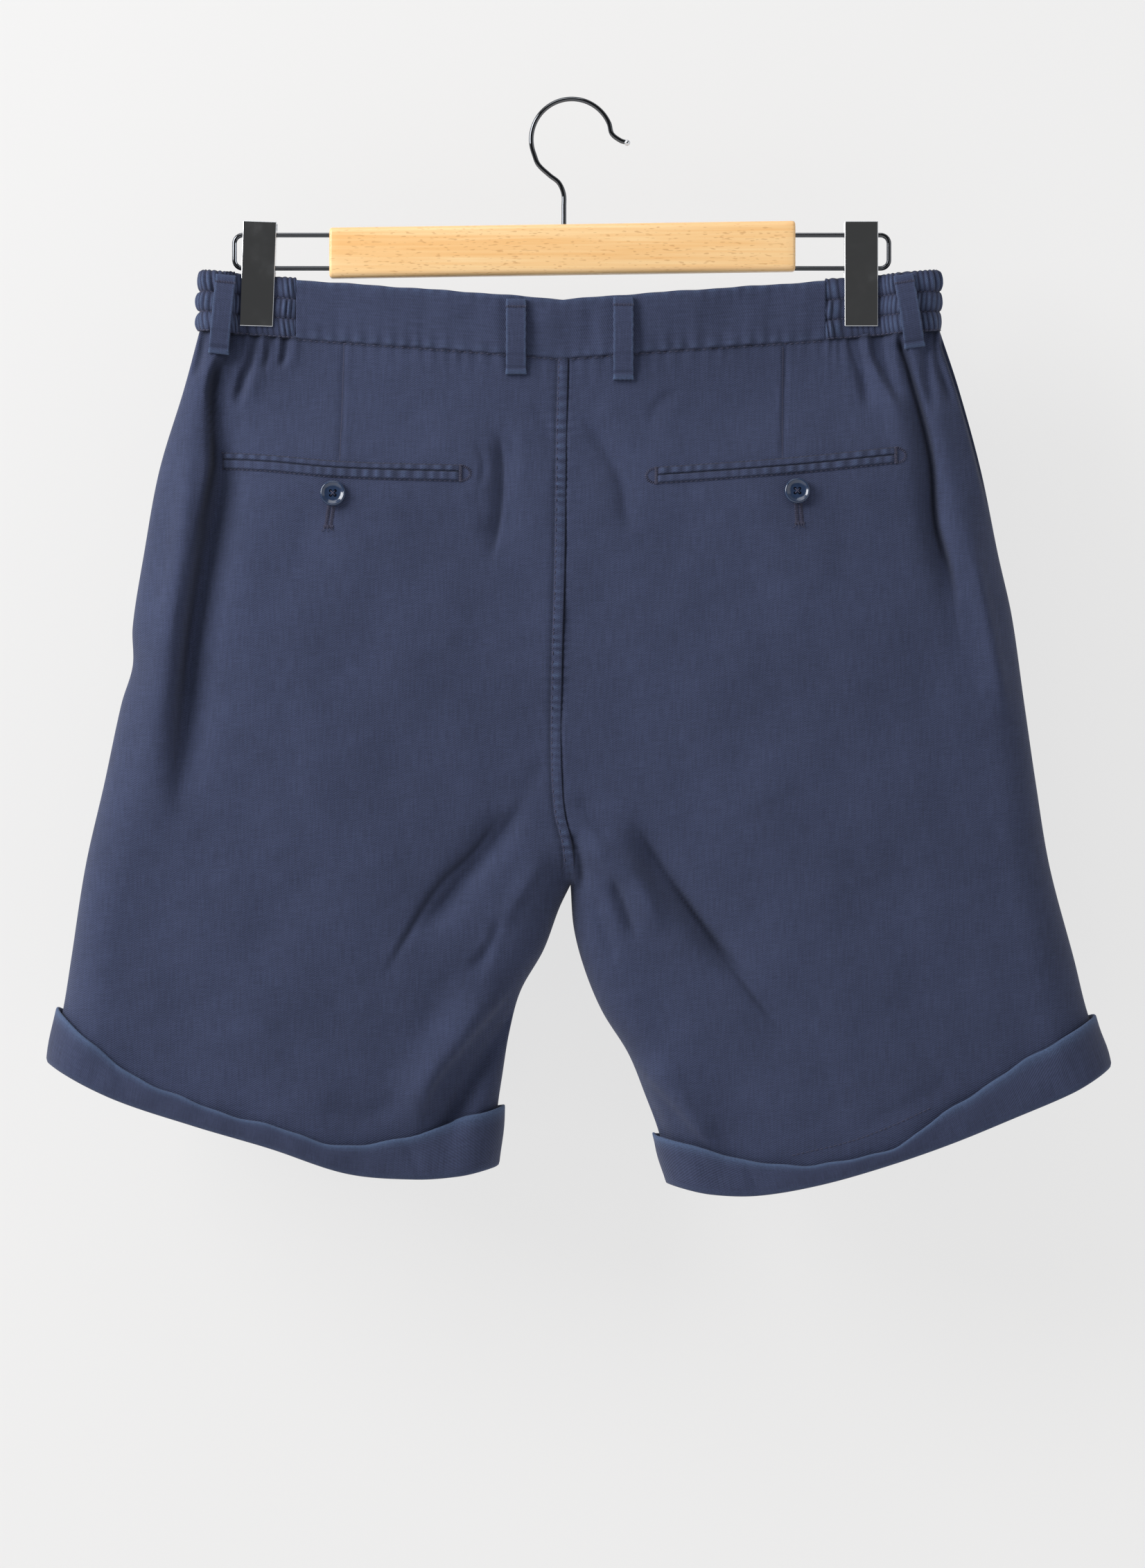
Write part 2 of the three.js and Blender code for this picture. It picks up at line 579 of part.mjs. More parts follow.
// Belt loop: a folded strip from the top of the band to just below its seam, bowed away between
function beltLoop({ face, top, bottom, on }) {
  const steps = 8;
  const rows = [];
  for (let i = 0; i <= steps; i += 1) {
    const t = i / steps;
    const [x, z] = [mix(top[0], bottom[0], t), mix(top[1], bottom[1], t)];
    rows.push([-0.5, 0, 0.5].map((across) => ({ x: x + across * LOOP.width, z })));
  }
  const step = (r) => (r < steps ? LOOP.step[on] : 0);
  const lift = (r) => LAID_ON + step(r) + LOOP.bow[on] * Math.sin((Math.PI * r) / steps);
  return laid(face, rows, () => LOOP.thick, lift);
}

// Double-welt pocket: two lips with a slit between, from one end to the other
function weltPocket(route) {
  const { edge, thick, lip, slit } = WELT;
  const levels = [
    { at: 0.5, thick: edge }, { at: lip, thick }, { at: slit, thick }, { at: 0, thick: edge },
    { at: -slit, thick }, { at: -lip, thick }, { at: -0.5, thick: edge },
  ];
  const points = route.map(([x, z]) => ({ x, z }));
  const rows = levels.map(({ at }) => {
    const row = [];
    for (let i = 0; i <= WELT.columns; i += 1) {
      const spot = along(points, i / WELT.columns);
      row.push({ x: spot.x, z: spot.z + at * WELT.height });
    }
    return row;
  });
  return laid('back', rows, (r) => levels[r].thick, () => WELT.lift);
}

const plain = (geometry) => {
  geometry.deleteAttribute('normal');
  geometry.deleteAttribute('uv');
  return mergeVertices(geometry);
};

const solid = (geometry) => {
  const source = plain(geometry);
  const vertProperties = new Float32Array(source.attributes.position.array);
  const triVerts = new Uint32Array(source.index.array);
  return new wasm.Manifold(new wasm.Mesh({ numProp: 3, vertProperties, triVerts }));
};

const geometryOf = (body) => {
  const mesh = body.getMesh();
  const geometry = new THREE.BufferGeometry();
  geometry.setAttribute('position', new THREE.Float32BufferAttribute(mesh.vertProperties, 3));
  geometry.setIndex(Array.from(mesh.triVerts));
  return geometry;
};

// Four-hole button with a sunk middle, its axis along Y, its back at y = 0
function button(radius) {
  const { thick, edge, rim, well, sunk, hole } = BUTTON;
  const shoulder = 0.3;
  const profile = [
    [0, 0], [radius - edge, 0], [radius, edge], [radius - shoulder, thick - shoulder], [radius - rim, thick],
    [radius - well, thick - sunk], [0, thick - sunk],
  ].map(([x, y]) => new THREE.Vector2(x, y));
  let body = solid(new THREE.LatheGeometry(profile, 20));
  for (const [x, z] of [[-1, -1], [1, -1], [1, 1], [-1, 1]]) {
    const drill = new THREE.CylinderGeometry(hole.radius, hole.radius, thick * 3, 6);
    drill.translate(x * hole.out, 0, z * hole.out);
    body = body.subtract(solid(drill));
  }
  return geometryOf(body);
}

// Round wire along a path of points, straight between the corners it is given
function wire(points, radius, sides, smooth) {
  const section = new THREE.Shape();
  for (let i = 0; i < sides; i += 1) {
    const a = (2 * Math.PI * i) / sides;
    if (i === 0) section.moveTo(radius, 0);
    else section.lineTo(radius * Math.cos(a), radius * Math.sin(a));
  }
  const path = new THREE.CatmullRomCurve3(points, false, 'centripetal');
  const extrudePath = smooth > 0 ? path : new THREE.LineCurve3(points[0], points[1]);
  return new THREE.ExtrudeGeometry(section, { steps: Math.max(1, smooth), extrudePath, bevelEnabled: false });
}

// Hook: most of a circle over the rail, a flicked tip with a ball and an offset stem
function hook() {
  const points = HOOK.tip.map(([x, z]) => new THREE.Vector3(x, 0, z));
  for (let a = HOOK.arc.from; a <= HOOK.arc.to; a += HOOK.arc.step) {
    const angle = THREE.MathUtils.degToRad(a);
    const [x, z] = [HOOK_RADIUS * Math.cos(angle), HOOK_RADIUS * Math.sin(angle)];
    points.push(new THREE.Vector3(x, 0, z - HOOK_RADIUS + WIRE_RADIUS));
  }
  for (const [x, z] of HOOK.stem) points.push(new THREE.Vector3(x, 0, z));
  const ball = new THREE.SphereGeometry(BALL_RADIUS, 12, 8);
  ball.translate(HOOK.ball[0], 0, HOOK.ball[1]);
  return geometryOf(solid(wire(points, WIRE_RADIUS, 8, 44)).add(solid(ball)));
}

// One side wire of the hanger: out of the bar's end, round and back in
function sideWire(side) {
  const { from: fromX, to: toX } = SIDE_WIRE[side];
  const { bend } = SIDE_WIRE;
  const { sign } = OUTLINE[side];
  const points = [fromX, mix(fromX, toX, 0.5)].map((x) => new THREE.Vector3(x, 0, WIRE_TOP_Z));
  const corner = (cx, cz, start) => {
    for (let a = 0; a <= 90; a += 22.5) {
      const angle = THREE.MathUtils.degToRad(start - a);
      points.push(new THREE.Vector3(cx + sign * bend * Math.cos(angle), 0, cz + bend * Math.sin(angle)));
    }
  };
  corner(toX - sign * bend, WIRE_TOP_Z - bend, 90);
  corner(toX - sign * bend, WIRE_BOTTOM_Z + bend, 0);
  points.push(new THREE.Vector3(mix(fromX, toX, 0.5), 0, WIRE_BOTTOM_Z));
  points.push(new THREE.Vector3(fromX, 0, WIRE_BOTTOM_Z));
  return wire(points, WIRE_RADIUS, 8, 40);
}

// Half of a clip: a flat plate with a boss that rides between the two wires and a gripping lip
function clipJaw(side, facing) {
  const outline = new THREE.Shape();
  const [outerY, innerY] = [CLIP.jaw + CLIP.plate, CLIP.jaw];
  const wireClear = WIRE_RADIUS + CLIP.clear;
  [
    [outerY - CLIP.bevel, CLIP.top], [outerY, CLIP.top - CLIP.bevel],
    [outerY, CLIP.bottom + CLIP.bevel], [outerY - CLIP.bevel, CLIP.bottom],
    [innerY, CLIP.bottom], [innerY, WIRE_BOTTOM_Z - wireClear], [wireClear, WIRE_BOTTOM_Z - wireClear],
    [wireClear, WIRE_BOTTOM_Z + wireClear], [HALF_GAP, WIRE_BOTTOM_Z + wireClear],
    [HALF_GAP, WIRE_TOP_Z - wireClear], [wireClear, WIRE_TOP_Z - wireClear],
    [wireClear, WIRE_TOP_Z + wireClear + CLIP.boss], [innerY, CLIP.top],
  ].forEach(([y, z], i) => (i === 0 ? outline.moveTo(y, z) : outline.lineTo(y, z)));
  outline.closePath();
  const geometry = new THREE.ExtrudeGeometry(outline, { depth: CLIP.width, bevelEnabled: false });
  geometry.translate(0, 0, -CLIP.width / 2);
  // The outline's first axis becomes Y, its second Z and its depth X
  geometry.applyMatrix4(new THREE.Matrix4().set(0, 0, 1, 0, facing, 0, 0, 0, 0, 1, 0, 0, 0, 0, 0, 1));
  const jaw = outward(geometry);
  jaw.translate(0, 0, -WIRE_TOP_Z);
  jaw.rotateY(CLIP_TILT[side]);
  jaw.translate(CLIP_X[side], 0, WIRE_TOP_Z);
  return jaw;
}

// Turns the faces of a mesh out again where a mirror has turned them in
function outward(geometry) {
  const source = plain(geometry);
  const at = source.attributes.position;
  const points = Array.from({ length: at.count }, (_, i) => new THREE.Vector3().fromBufferAttribute(at, i));
  const index = Array.from(source.index.array);
  if (signedVolume(points, index) < 0) source.setIndex(index.reverse());
  return source;
}

// Bar of the hanger, its long edges rounded over
function hangerBar() {
  const outline = new THREE.Shape();
  const [h, d, r] = [BAR.height / 2, BAR.depth / 2, BAR.round];
  outline.moveTo(-d + r, -h);
  outline.lineTo(d - r, -h);
  outline.absarc(d - r, -h + r, r, -Math.PI / 2, 0);
  outline.lineTo(d, h - r);
  outline.absarc(d - r, h - r, r, 0, Math.PI / 2);
  outline.lineTo(-d + r, h);
  outline.absarc(-d + r, h - r, r, Math.PI / 2, Math.PI);
  outline.lineTo(-d, -h + r);
  outline.absarc(-d + r, -h + r, r, Math.PI, 1.5 * Math.PI);
  const options = { depth: BAR.length, bevelEnabled: false, curveSegments: 4 };
  const geometry = new THREE.ExtrudeGeometry(outline, options);
  geometry.translate(0, 0, -BAR.length / 2);
  geometry.applyMatrix4(new THREE.Matrix4().set(0, 0, 1, 0, 1, 0, 0, 0, 0, 1, 0, 0, 0, 0, 0, 1));
  geometry.rotateY(-BAR.tilt);
  geometry.translate(BAR.x, 0, BAR.z);
  return geometry;
}

// Button laid on a face of the shorts at x, z
function buttonOn(face, x, z, { radius, lift }) {
  const { point, normal } = surfaceAt(face, x, z);
  const geometry = button(radius);
  geometry.applyQuaternion(new THREE.Quaternion().setFromUnitVectors(new THREE.Vector3(0, 1, 0), normal));
  point.addScaledVector(normal, lift);
  geometry.translate(point.x, point.y, point.z);
  return geometry;
}

// Strip laid on the front between two lines given by their ends
function frontStrip(from, to, width, steps) {
  const rows = [];
  for (let i = 0; i <= steps; i += 1) {
    const t = i / steps;
    const [x, z] = [mix(from[0], to[0], t), mix(from[1], to[1], t)];
    rows.push([-0.5, 0, 0.5].map((k) => ({ x: x + k * width(t), z })));
  }
  return laid('front', rows, () => TWILL, () => LAID_ON);
}

const FINISH = {
  twill: { color: 0x3f4763, roughness: 0.93, metalness: 0 },
  button: { color: 0x1f2a44, roughness: 0.3, metalness: 0 },
  beech: { color: 0xe3bd86, roughness: 0.55, metalness: 0 },
  chrome: { color: 0xd8dadf, roughness: 0.15, metalness: 1 },
};

const group = new THREE.Group();

function place(name, geometry, finish) {
  const mesh = new THREE.Mesh(geometry, new THREE.MeshStandardMaterial(FINISH[finish]));
  mesh.name = name;
  group.add(mesh);
}

const ELASTIC_INNER = { left: -161, right: 148 };
const OVERLAP = { from: -12, to: 16 };
const BAND_ENDS = { left: ELASTIC_INNER.left + HALF_GAP, right: ELASTIC_INNER.right - HALF_GAP };

for (const side of ['left', 'right']) {
  const half = OUTLINE[side];
  for (const face of ['back', 'front']) {
    const grid = GRIDS[`${face}_${side}`];
    place(`${face}_${side}`, wall(grid.outer, grid.inner), 'twill');
  }
  place(`cuff_${side}`, cuff(side), 'twill');
  const inward = ELASTIC_INNER[side] + half.sign * HALF_GAP;
  place(`elastic_${side}`, elasticEnd(half, inward, inward), 'twill');
}
place('waistband_back', bandWall('back', BAND_ENDS.left, BAND_ENDS.right, 24), 'twill');
place('waistband_front_left', bandWall('front', BAND_ENDS.left, OVERLAP.to, 14), 'twill');
const tucked = (x) => (BAND_WALL + SEAM_GAP) * (1 - ease((x - OVERLAP.to - 2) / 20));
place('waistband_front_right', bandWall('front', OVERLAP.from, BAND_ENDS.right, 16, tucked), 'twill');

const LOOPS = [
  { at: 'back_outer_left', face: 'back', top: [-201.3, -102.5], bottom: [-205.7, -148.6], on: 'elastic' },
  { at: 'back_inner_left', face: 'back', top: [-32.4, -117], bottom: [-32.4, -160.8], on: 'band' },
  { at: 'back_inner_right', face: 'back', top: [30, -116], bottom: [30, -164], on: 'band' },
  { at: 'back_outer_right', face: 'back', top: [192.8, -102.5], bottom: [199.7, -145], on: 'elastic' },
  { at: 'front_left', face: 'front', top: [-110, -110], bottom: [-110, -155], on: 'band' },
  { at: 'front_right', face: 'front', top: [110, -110], bottom: [110, -155], on: 'band' },
];
for (const loop of LOOPS) place(`loop_${loop.at}`, beltLoop(loop), 'twill');

place('pocket_welt_left', weltPocket([[-200, -211], [-175, -213], [-134, -216.8], [-61, -219]]), 'twill');
place('pocket_welt_right', weltPocket([[47.5, -220.2], [122, -215], [188, -208.2]]), 'twill');
place('pocket_button_left', buttonOn('back', -138.1, -230.9, BUTTON.pocket), 'button');
place('pocket_button_right', buttonOn('back', 130.4, -229.6, BUTTON.pocket), 'button');

const flyWidth = (t) => FLY.width * Math.sqrt(1 - (FLY.turn * t) ** FLY.curve);
place('fly', frontStrip([FLY.x, FLY.top], [FLY.x, FLY.bottom], flyWidth, 12), 'twill');
for (const [side, from, to] of [['left', -148, -196], ['right', 140, 192]]) {
  const ends = [[from, FRONT_POCKET.top], [to, FRONT_POCKET.bottom]];
  place(`front_pocket_${side}`, frontStrip(...ends, () => FRONT_POCKET.width, 14), 'twill');
}
place('waist_button', buttonOn('front', 6, -133, BUTTON.waist), 'button');

place('hanger_bar', hangerBar(), 'beech');
place('hook', hook(), 'chrome');
for (const side of ['left', 'right']) {
  place(`wire_${side}`, sideWire(side), 'chrome');
  place(`clip_${side}_back`, clipJaw(side, -1), 'chrome');
  place(`clip_${side}_front`, clipJaw(side, 1), 'chrome');
}

export default group;
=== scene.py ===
"""Bermuda shorts hung by the waist on a wooden clip hanger, their back to the viewer.

Sizes are in millimetres and become metres where a mesh is made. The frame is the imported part's own: the
origin is the inside top of the hook, +Z is up and the back of the shorts faces -Y.
"""
import logging
import math
from dataclasses import dataclass, replace
from enum import Enum
from functools import partial
from typing import Callable

import bmesh
import bpy
import numpy as np
from mathutils import Matrix, Vector


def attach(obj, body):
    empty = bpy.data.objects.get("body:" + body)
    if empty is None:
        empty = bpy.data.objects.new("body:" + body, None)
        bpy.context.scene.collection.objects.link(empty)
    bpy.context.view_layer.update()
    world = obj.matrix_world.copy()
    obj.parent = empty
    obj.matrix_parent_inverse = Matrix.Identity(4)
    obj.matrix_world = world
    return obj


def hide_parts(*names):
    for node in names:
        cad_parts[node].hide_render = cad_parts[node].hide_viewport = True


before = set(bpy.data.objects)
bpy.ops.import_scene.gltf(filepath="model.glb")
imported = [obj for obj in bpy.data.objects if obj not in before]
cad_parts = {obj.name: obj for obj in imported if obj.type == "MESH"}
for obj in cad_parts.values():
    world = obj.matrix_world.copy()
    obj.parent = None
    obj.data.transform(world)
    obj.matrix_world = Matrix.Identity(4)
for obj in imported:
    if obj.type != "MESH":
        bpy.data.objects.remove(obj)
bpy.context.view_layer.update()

LOG = logging.getLogger("shorts")
Array = np.ndarray
Route = tuple[tuple[float, float], ...]
MM = 0.001
BODY = "root"

# Cloth sizes that the solids share
TWILL = 1.2
BAND_HEIGHT = 34.5
BAND_PROUD = 0.6
BAND_WALL = 2.0
ELASTIC_WALL = 2.6
CROTCH = 0.645
EDGE_BAND, EDGE_BODY, EDGE_DROP = 9.0, 26.0, 95.0
FOLD_START = 30.0
LEAST_DEPTH = 2.0
BAND_CLIP, BAND_CENTRE, BAND_END = 3.75, 13.0, 9.0
CLIP_HALF, BAND_END_RUN, BAND_OPENING = 10.5, 13.0, 1.25
LAID_ON = 0.5
BUTTON_RADIUS, WAIST_BUTTON_RADIUS = 7.5, 8.5


class Face(Enum):
    """Which way a piece of cloth looks: the wearer's back or front."""

    BACK = -1
    FRONT = 1


def ease(t: Array) -> Array:
    """Smooth step from 0 to 1."""
    t = np.clip(t, 0.0, 1.0)
    return t * t * (3 - 2 * t)


def mix(a: Array, b: Array, t: Array) -> Array:
    """Value a share t of the way from a to b."""
    return a + (b - a) * t


def bump(distance: Array, width: float) -> Array:
    """Soft hill of height 1 that falls off over a width."""
    return np.exp(-((distance / width) ** 2))


def rounded(distance: Array, radius: Array) -> Array:
    """Quarter of a circle: 0 at an edge and 1 from one radius in."""
    return np.sqrt(1 - (1 - np.clip(distance / radius, 0, 1)) ** 2)


def unit(vectors: Array) -> Array:
    """Vectors at length 1."""
    return vectors / np.maximum(np.linalg.norm(vectors, axis=-1, keepdims=True), 1e-9)


def reaches(points: Array) -> Array:
    """Length along a line of points up to each of them."""
    steps = np.linalg.norm(np.diff(np.asarray(points, float), axis=0), axis=1)
    return np.concatenate([[0.0], np.cumsum(steps)])


def spline(stations: Array, values: Array, at: Array) -> Array:
    """Value on the smooth line through values that belong to rising stations.

    Args:
        stations: rising places of the values.
        values: one value for each station.
        at: places to read.

    Returns:
        The line's values at those places.
    """
    stations, values = np.asarray(stations, float), np.asarray(values, float)
    at = np.asarray(at, float)
    last = len(stations) - 1
    i = np.clip(np.searchsorted(stations, at) - 1, 0, last - 1)
    before, after = np.maximum(np.arange(last + 1) - 1, 0), np.minimum(np.arange(last + 1) + 1, last)
    slopes = (values[after] - values[before]) / (stations[after] - stations[before])
    span = stations[i + 1] - stations[i]
    s = (at - stations[i]) / span
    s2, s3 = s * s, s * s * s
    ends = (2 * s3 - 3 * s2 + 1) * values[i] + (3 * s2 - 2 * s3) * values[i + 1]
    return ends + span * ((s3 - 2 * s2 + s) * slopes[i] + (s3 - s2) * slopes[i + 1])


def along(points: Route, share: Array) -> tuple[Array, Array]:
    """Places at a share of the length of a smooth line through points.

    Args:
        points: x and z of each point.
        share: 0 at the first point, 1 at the last.

    Returns:
        The x and the z of the places.
    """
    p = np.asarray(points, float)
    reach = reaches(p)
    at = np.clip(share, 0, 1) * reach[-1]
    return spline(reach, p[:, 0], at), spline(reach, p[:, 1], at)


def eased_row(rows: tuple[tuple[float, ...], ...], v: Array) -> list[Array]:
    """Columns of a table at share v, eased from row to row; the first column is the share.

    Args:
        rows: the table.
        v: shares to read at.

    Returns:
        The other columns' values there.
    """
    table = np.asarray(rows, float)
    i = np.clip(np.searchsorted(table[:, 0], v) - 1, 0, len(table) - 2)
    t = ease((v - table[i, 0]) / (table[i + 1, 0] - table[i, 0]))
    return [mix(table[i, c], table[i + 1, c], t) for c in range(1, table.shape[1])]


def puckers(s: Array, pitch: float, turn: float) -> Array:
    """Uneven small waves along a seam, from -1 to 1.

    Args:
        s: length along the seam.
        pitch: mean length of a wave.
        turn: phase that tells one seam from another.

    Returns:
        Height of the waves.
    """
    phase = 2 * np.pi * s / pitch + 1.5 * np.sin(s / (2.1 * pitch) + turn)
    phase = phase + 0.8 * np.sin(s / (0.9 * pitch) + 2 * turn)
    return np.cos(phase + turn) * (0.65 + 0.35 * np.sin(s / (3.3 * pitch) + 1.7 * turn))


def undulation(x: Array, z: Array, turn: float) -> Array:
    """Slow, low unevenness that hung cloth has everywhere, in millimetres.

    Args:
        x: places across.
        z: heights.
        turn: phase that tells one piece from another.

    Returns:
        Height of the waves.
    """
    waves = (
        (0.42, 83, 24, 0.3), (0.30, 57, -38, 1.9), (0.20, 41, 71, 4.0), (0.14, 29, 8, 2.2),
        (0.07, 17, -64, 5.1), (0.05, 12.5, 33, 0.9),
    )
    height = np.zeros_like(x)
    for tall, length, degrees, phase in waves:
        a = math.radians(degrees)
        way = (x * math.cos(a) + z * math.sin(a)) / length
        bend = 0.6 * np.sin((x * math.sin(a) - z * math.cos(a)) / (1.7 * length) + phase + turn)
        height += tall * np.sin(2 * np.pi * way + phase + turn + bend)
    return height


@dataclass(frozen=True)
class Crease:
    """A trough or ridge along a route in the hanging plane, with its own width on each flank."""

    route: Route
    height: float
    flanks: tuple[float, float]
    fade: tuple[float, float] = (0.25, 0.3)

    def lift(self, x: Array, z: Array) -> Array:
        """Height that the crease adds at places of the hanging plane.

        Args:
            x: places across.
            z: heights.

        Returns:
            Millimetres outwards.
        """
        sampled = np.column_stack(along(self.route, np.linspace(0, 1, 3 * len(self.route))))
        reach = 3.2 * max(self.flanks)
        low, high = sampled.min(0) - reach, sampled.max(0) + reach
        near = (x > low[0]) & (x < high[0]) & (z > low[1]) & (z < high[1])
        lifted = np.zeros_like(x)
        if not near.any():
            return lifted
        px, pz = x[near], z[near]
        best = np.full(px.shape, np.inf)
        side, share = np.ones_like(px), np.zeros_like(px)
        spans = len(sampled) - 1
        for i in range(spans):
            ax, az = sampled[i]
            dx, dz = sampled[i + 1] - sampled[i]
            t = np.clip(((px - ax) * dx + (pz - az) * dz) / (dx * dx + dz * dz), 0, 1)
            qx, qz = px - ax - t * dx, pz - az - t * dz
            distance = np.hypot(qx, qz)
            closer = distance < best
            best = np.where(closer, distance, best)
            side = np.where(closer, np.sign(qx), side)
            share = np.where(closer, (i + t) / spans, share)
        width = np.where(side < 0, self.flanks[0], self.flanks[1])
        fade = ease(share / self.fade[0]) * ease((1 - share) / self.fade[1])
        lifted[near] = self.height * fade * bump(best, width)
        return lifted


@dataclass(frozen=True)
class Leg:
    """Outline of one leg's half of the shorts, from the band's seam down.

    The hem's rows hold the share across the leg from the inseam, how far the hem hangs below a straight
    line between its ends, and the share at which its turn-up starts.
    """

    name: str
    sign: int
    clip_x: float
    side: Route
    inseam: Route
    hem: tuple[tuple[float, float, float], ...]


LEFT = Leg(
    name="left",
    sign=-1,
    clip_x=-182.2,
    side=((-217.5, -134.5), (-226.5, -168), (-241, -216), (-250, -265), (-256.5, -307), (-256.5, -330),
          (-263, -352), (-273, -398.5), (-284, -447), (-292.5, -502), (-297, -530), (-304, -560)),
    inseam=((-0.8, -458), (-7.3, -471.5), (-16.5, -496), (-30, -520), (-36.5, -544), (-40.5, -568.5),
            (-43.5, -590), (-44.6, -620)),
    hem=((0, 0, 0.931), (0.08, 9.2, 0.939), (0.18, 16.7, 0.952), (0.33, 22, 0.973), (0.5, 17.5, 0.978),
         (0.67, 14.8, 0.977), (0.85, 10.2, 0.962), (1, 0, 0.931)),
)
RIGHT = Leg(
    name="right",
    sign=1,
    clip_x=168.9,
    side=((215, -134.5), (226, -168), (239, -216), (249, -265), (257, -301), (264, -350), (271, -398.5),
          (279, -447), (293.5, -502), (301, -532), (312.5, -563)),
    inseam=((-0.8, -458), (1.2, -483.5), (7.7, -508), (17.8, -532), (33, -556.5), (43, -581), (51, -603),
            (57, -630)),
    hem=((0, 0, 0.947), (0.095, 11.2, 0.951), (0.2, 18.6, 0.967), (0.34, 21.5, 0.981), (0.5, 20.3, 0.987),
         (0.637, 17.3, 0.968), (0.772, 12.4, 0.951), (0.908, 6.8, 0.937), (1, 0, 0.933)),
)
CENTRE_SEAM = ((-5, -151.5), (-6, -193), (-7, -271), (-8.6, -330), (-9, -385), (-7, -416), (-2.6, -434),
               (-0.8, -458))
CENTRE_X, CENTRE_Z = CENTRE_SEAM[0]
CROTCH_Z = CENTRE_SEAM[-1][1]

# Rows: share down the leg, then how far the face stands out at the centre, half way and near the side
DEPTH = {
    Face.BACK: ((0.0, 13, 12, 12), (0.2, 23, 25, 18), (0.4, 26, 30, 23), (0.6, 25, 32, 26),
                (0.8, 24, 33, 28), (1.0, 24, 33, 29)),
    Face.FRONT: ((0.0, 13, 12, 12), (0.2, 18, 19, 15), (0.4, 20, 24, 20), (0.6, 20, 27, 23),
                 (0.8, 20, 28, 25), (1.0, 21, 29, 27)),
}

def creases(tables: dict[Face, tuple]) -> dict[Face, tuple[Crease, ...]]:
    """Creases of each face from rows of their route, height, flanks and, where it isn't the usual, fade."""
    return {face: tuple(Crease(*row) for row in rows) for face, rows in tables.items()}


# The largest folds, as in the solids
FOLDS = creases({
    Face.BACK: (
        (((-204, -150), (-205, -204), (-203, -222), (-211, -262), (-220, -310), (-224, -364),
          (-226, -430)), -9, (5, 16)),
        (((-216, -190), (-222, -262), (-234, -320), (-240, -380), (-246, -450)), 5, (14, 9)),
        (((189, -140), (201, -174), (210, -209), (213, -251), (217, -283), (221, -311)), -5, (12, 5)),
        (((224, -225), (233, -268), (254, -369)), 3.5, (9, 9)),
        (((-40, -190), (-40.5, -238), (-46.5, -273)), -3.5, (9, 12)),
        (((5, -186), (27, -219), (32, -258)), -2.5, (8, 10)),
        (((-32, -410), (-69, -460), (-91, -490)), -5, (9, 12)),
        (((4.5, -425), (18, -440), (36.5, -453.5), (48, -477), (53.5, -490.5)), 5, (8, 7)),
        (((31.5, -416), (60, -460), (85, -492), (110, -520)), -5.5, (10, 11)),
        (((-40, -512), (-67, -545), (-85, -570), (-98, -605)), 4.5, (14, 9)),
        (((-22, -512), (-52, -556), (-68, -590), (-74, -625)), -8, (13, 9)),
        (((42, -556), (64, -580), (82, -612)), 4, (9, 14)),
    ),
    Face.FRONT: (
        (((-205, -150), (-212, -240), (-222, -330), (-228, -420)), -6, (6, 15)),
        (((196, -145), (212, -230), (222, -320), (230, -400)), -5, (14, 6)),
        (((-60, -250), (-72, -320), (-78, -380)), -3, (10, 12)),
        (((70, -230), (84, -300), (88, -370)), -3, (12, 10)),
        (((-14, -432), (-52, -468), (-90, -500)), -5, (9, 11)),
        (((12, -428), (54, -466), (96, -505)), -5, (11, 9)),
        (((-60, -520), (-84, -565), (-92, -610)), 4, (12, 10)),
        (((84, -540), (104, -580), (112, -620)), 4, (10, 12)),
    ),
})

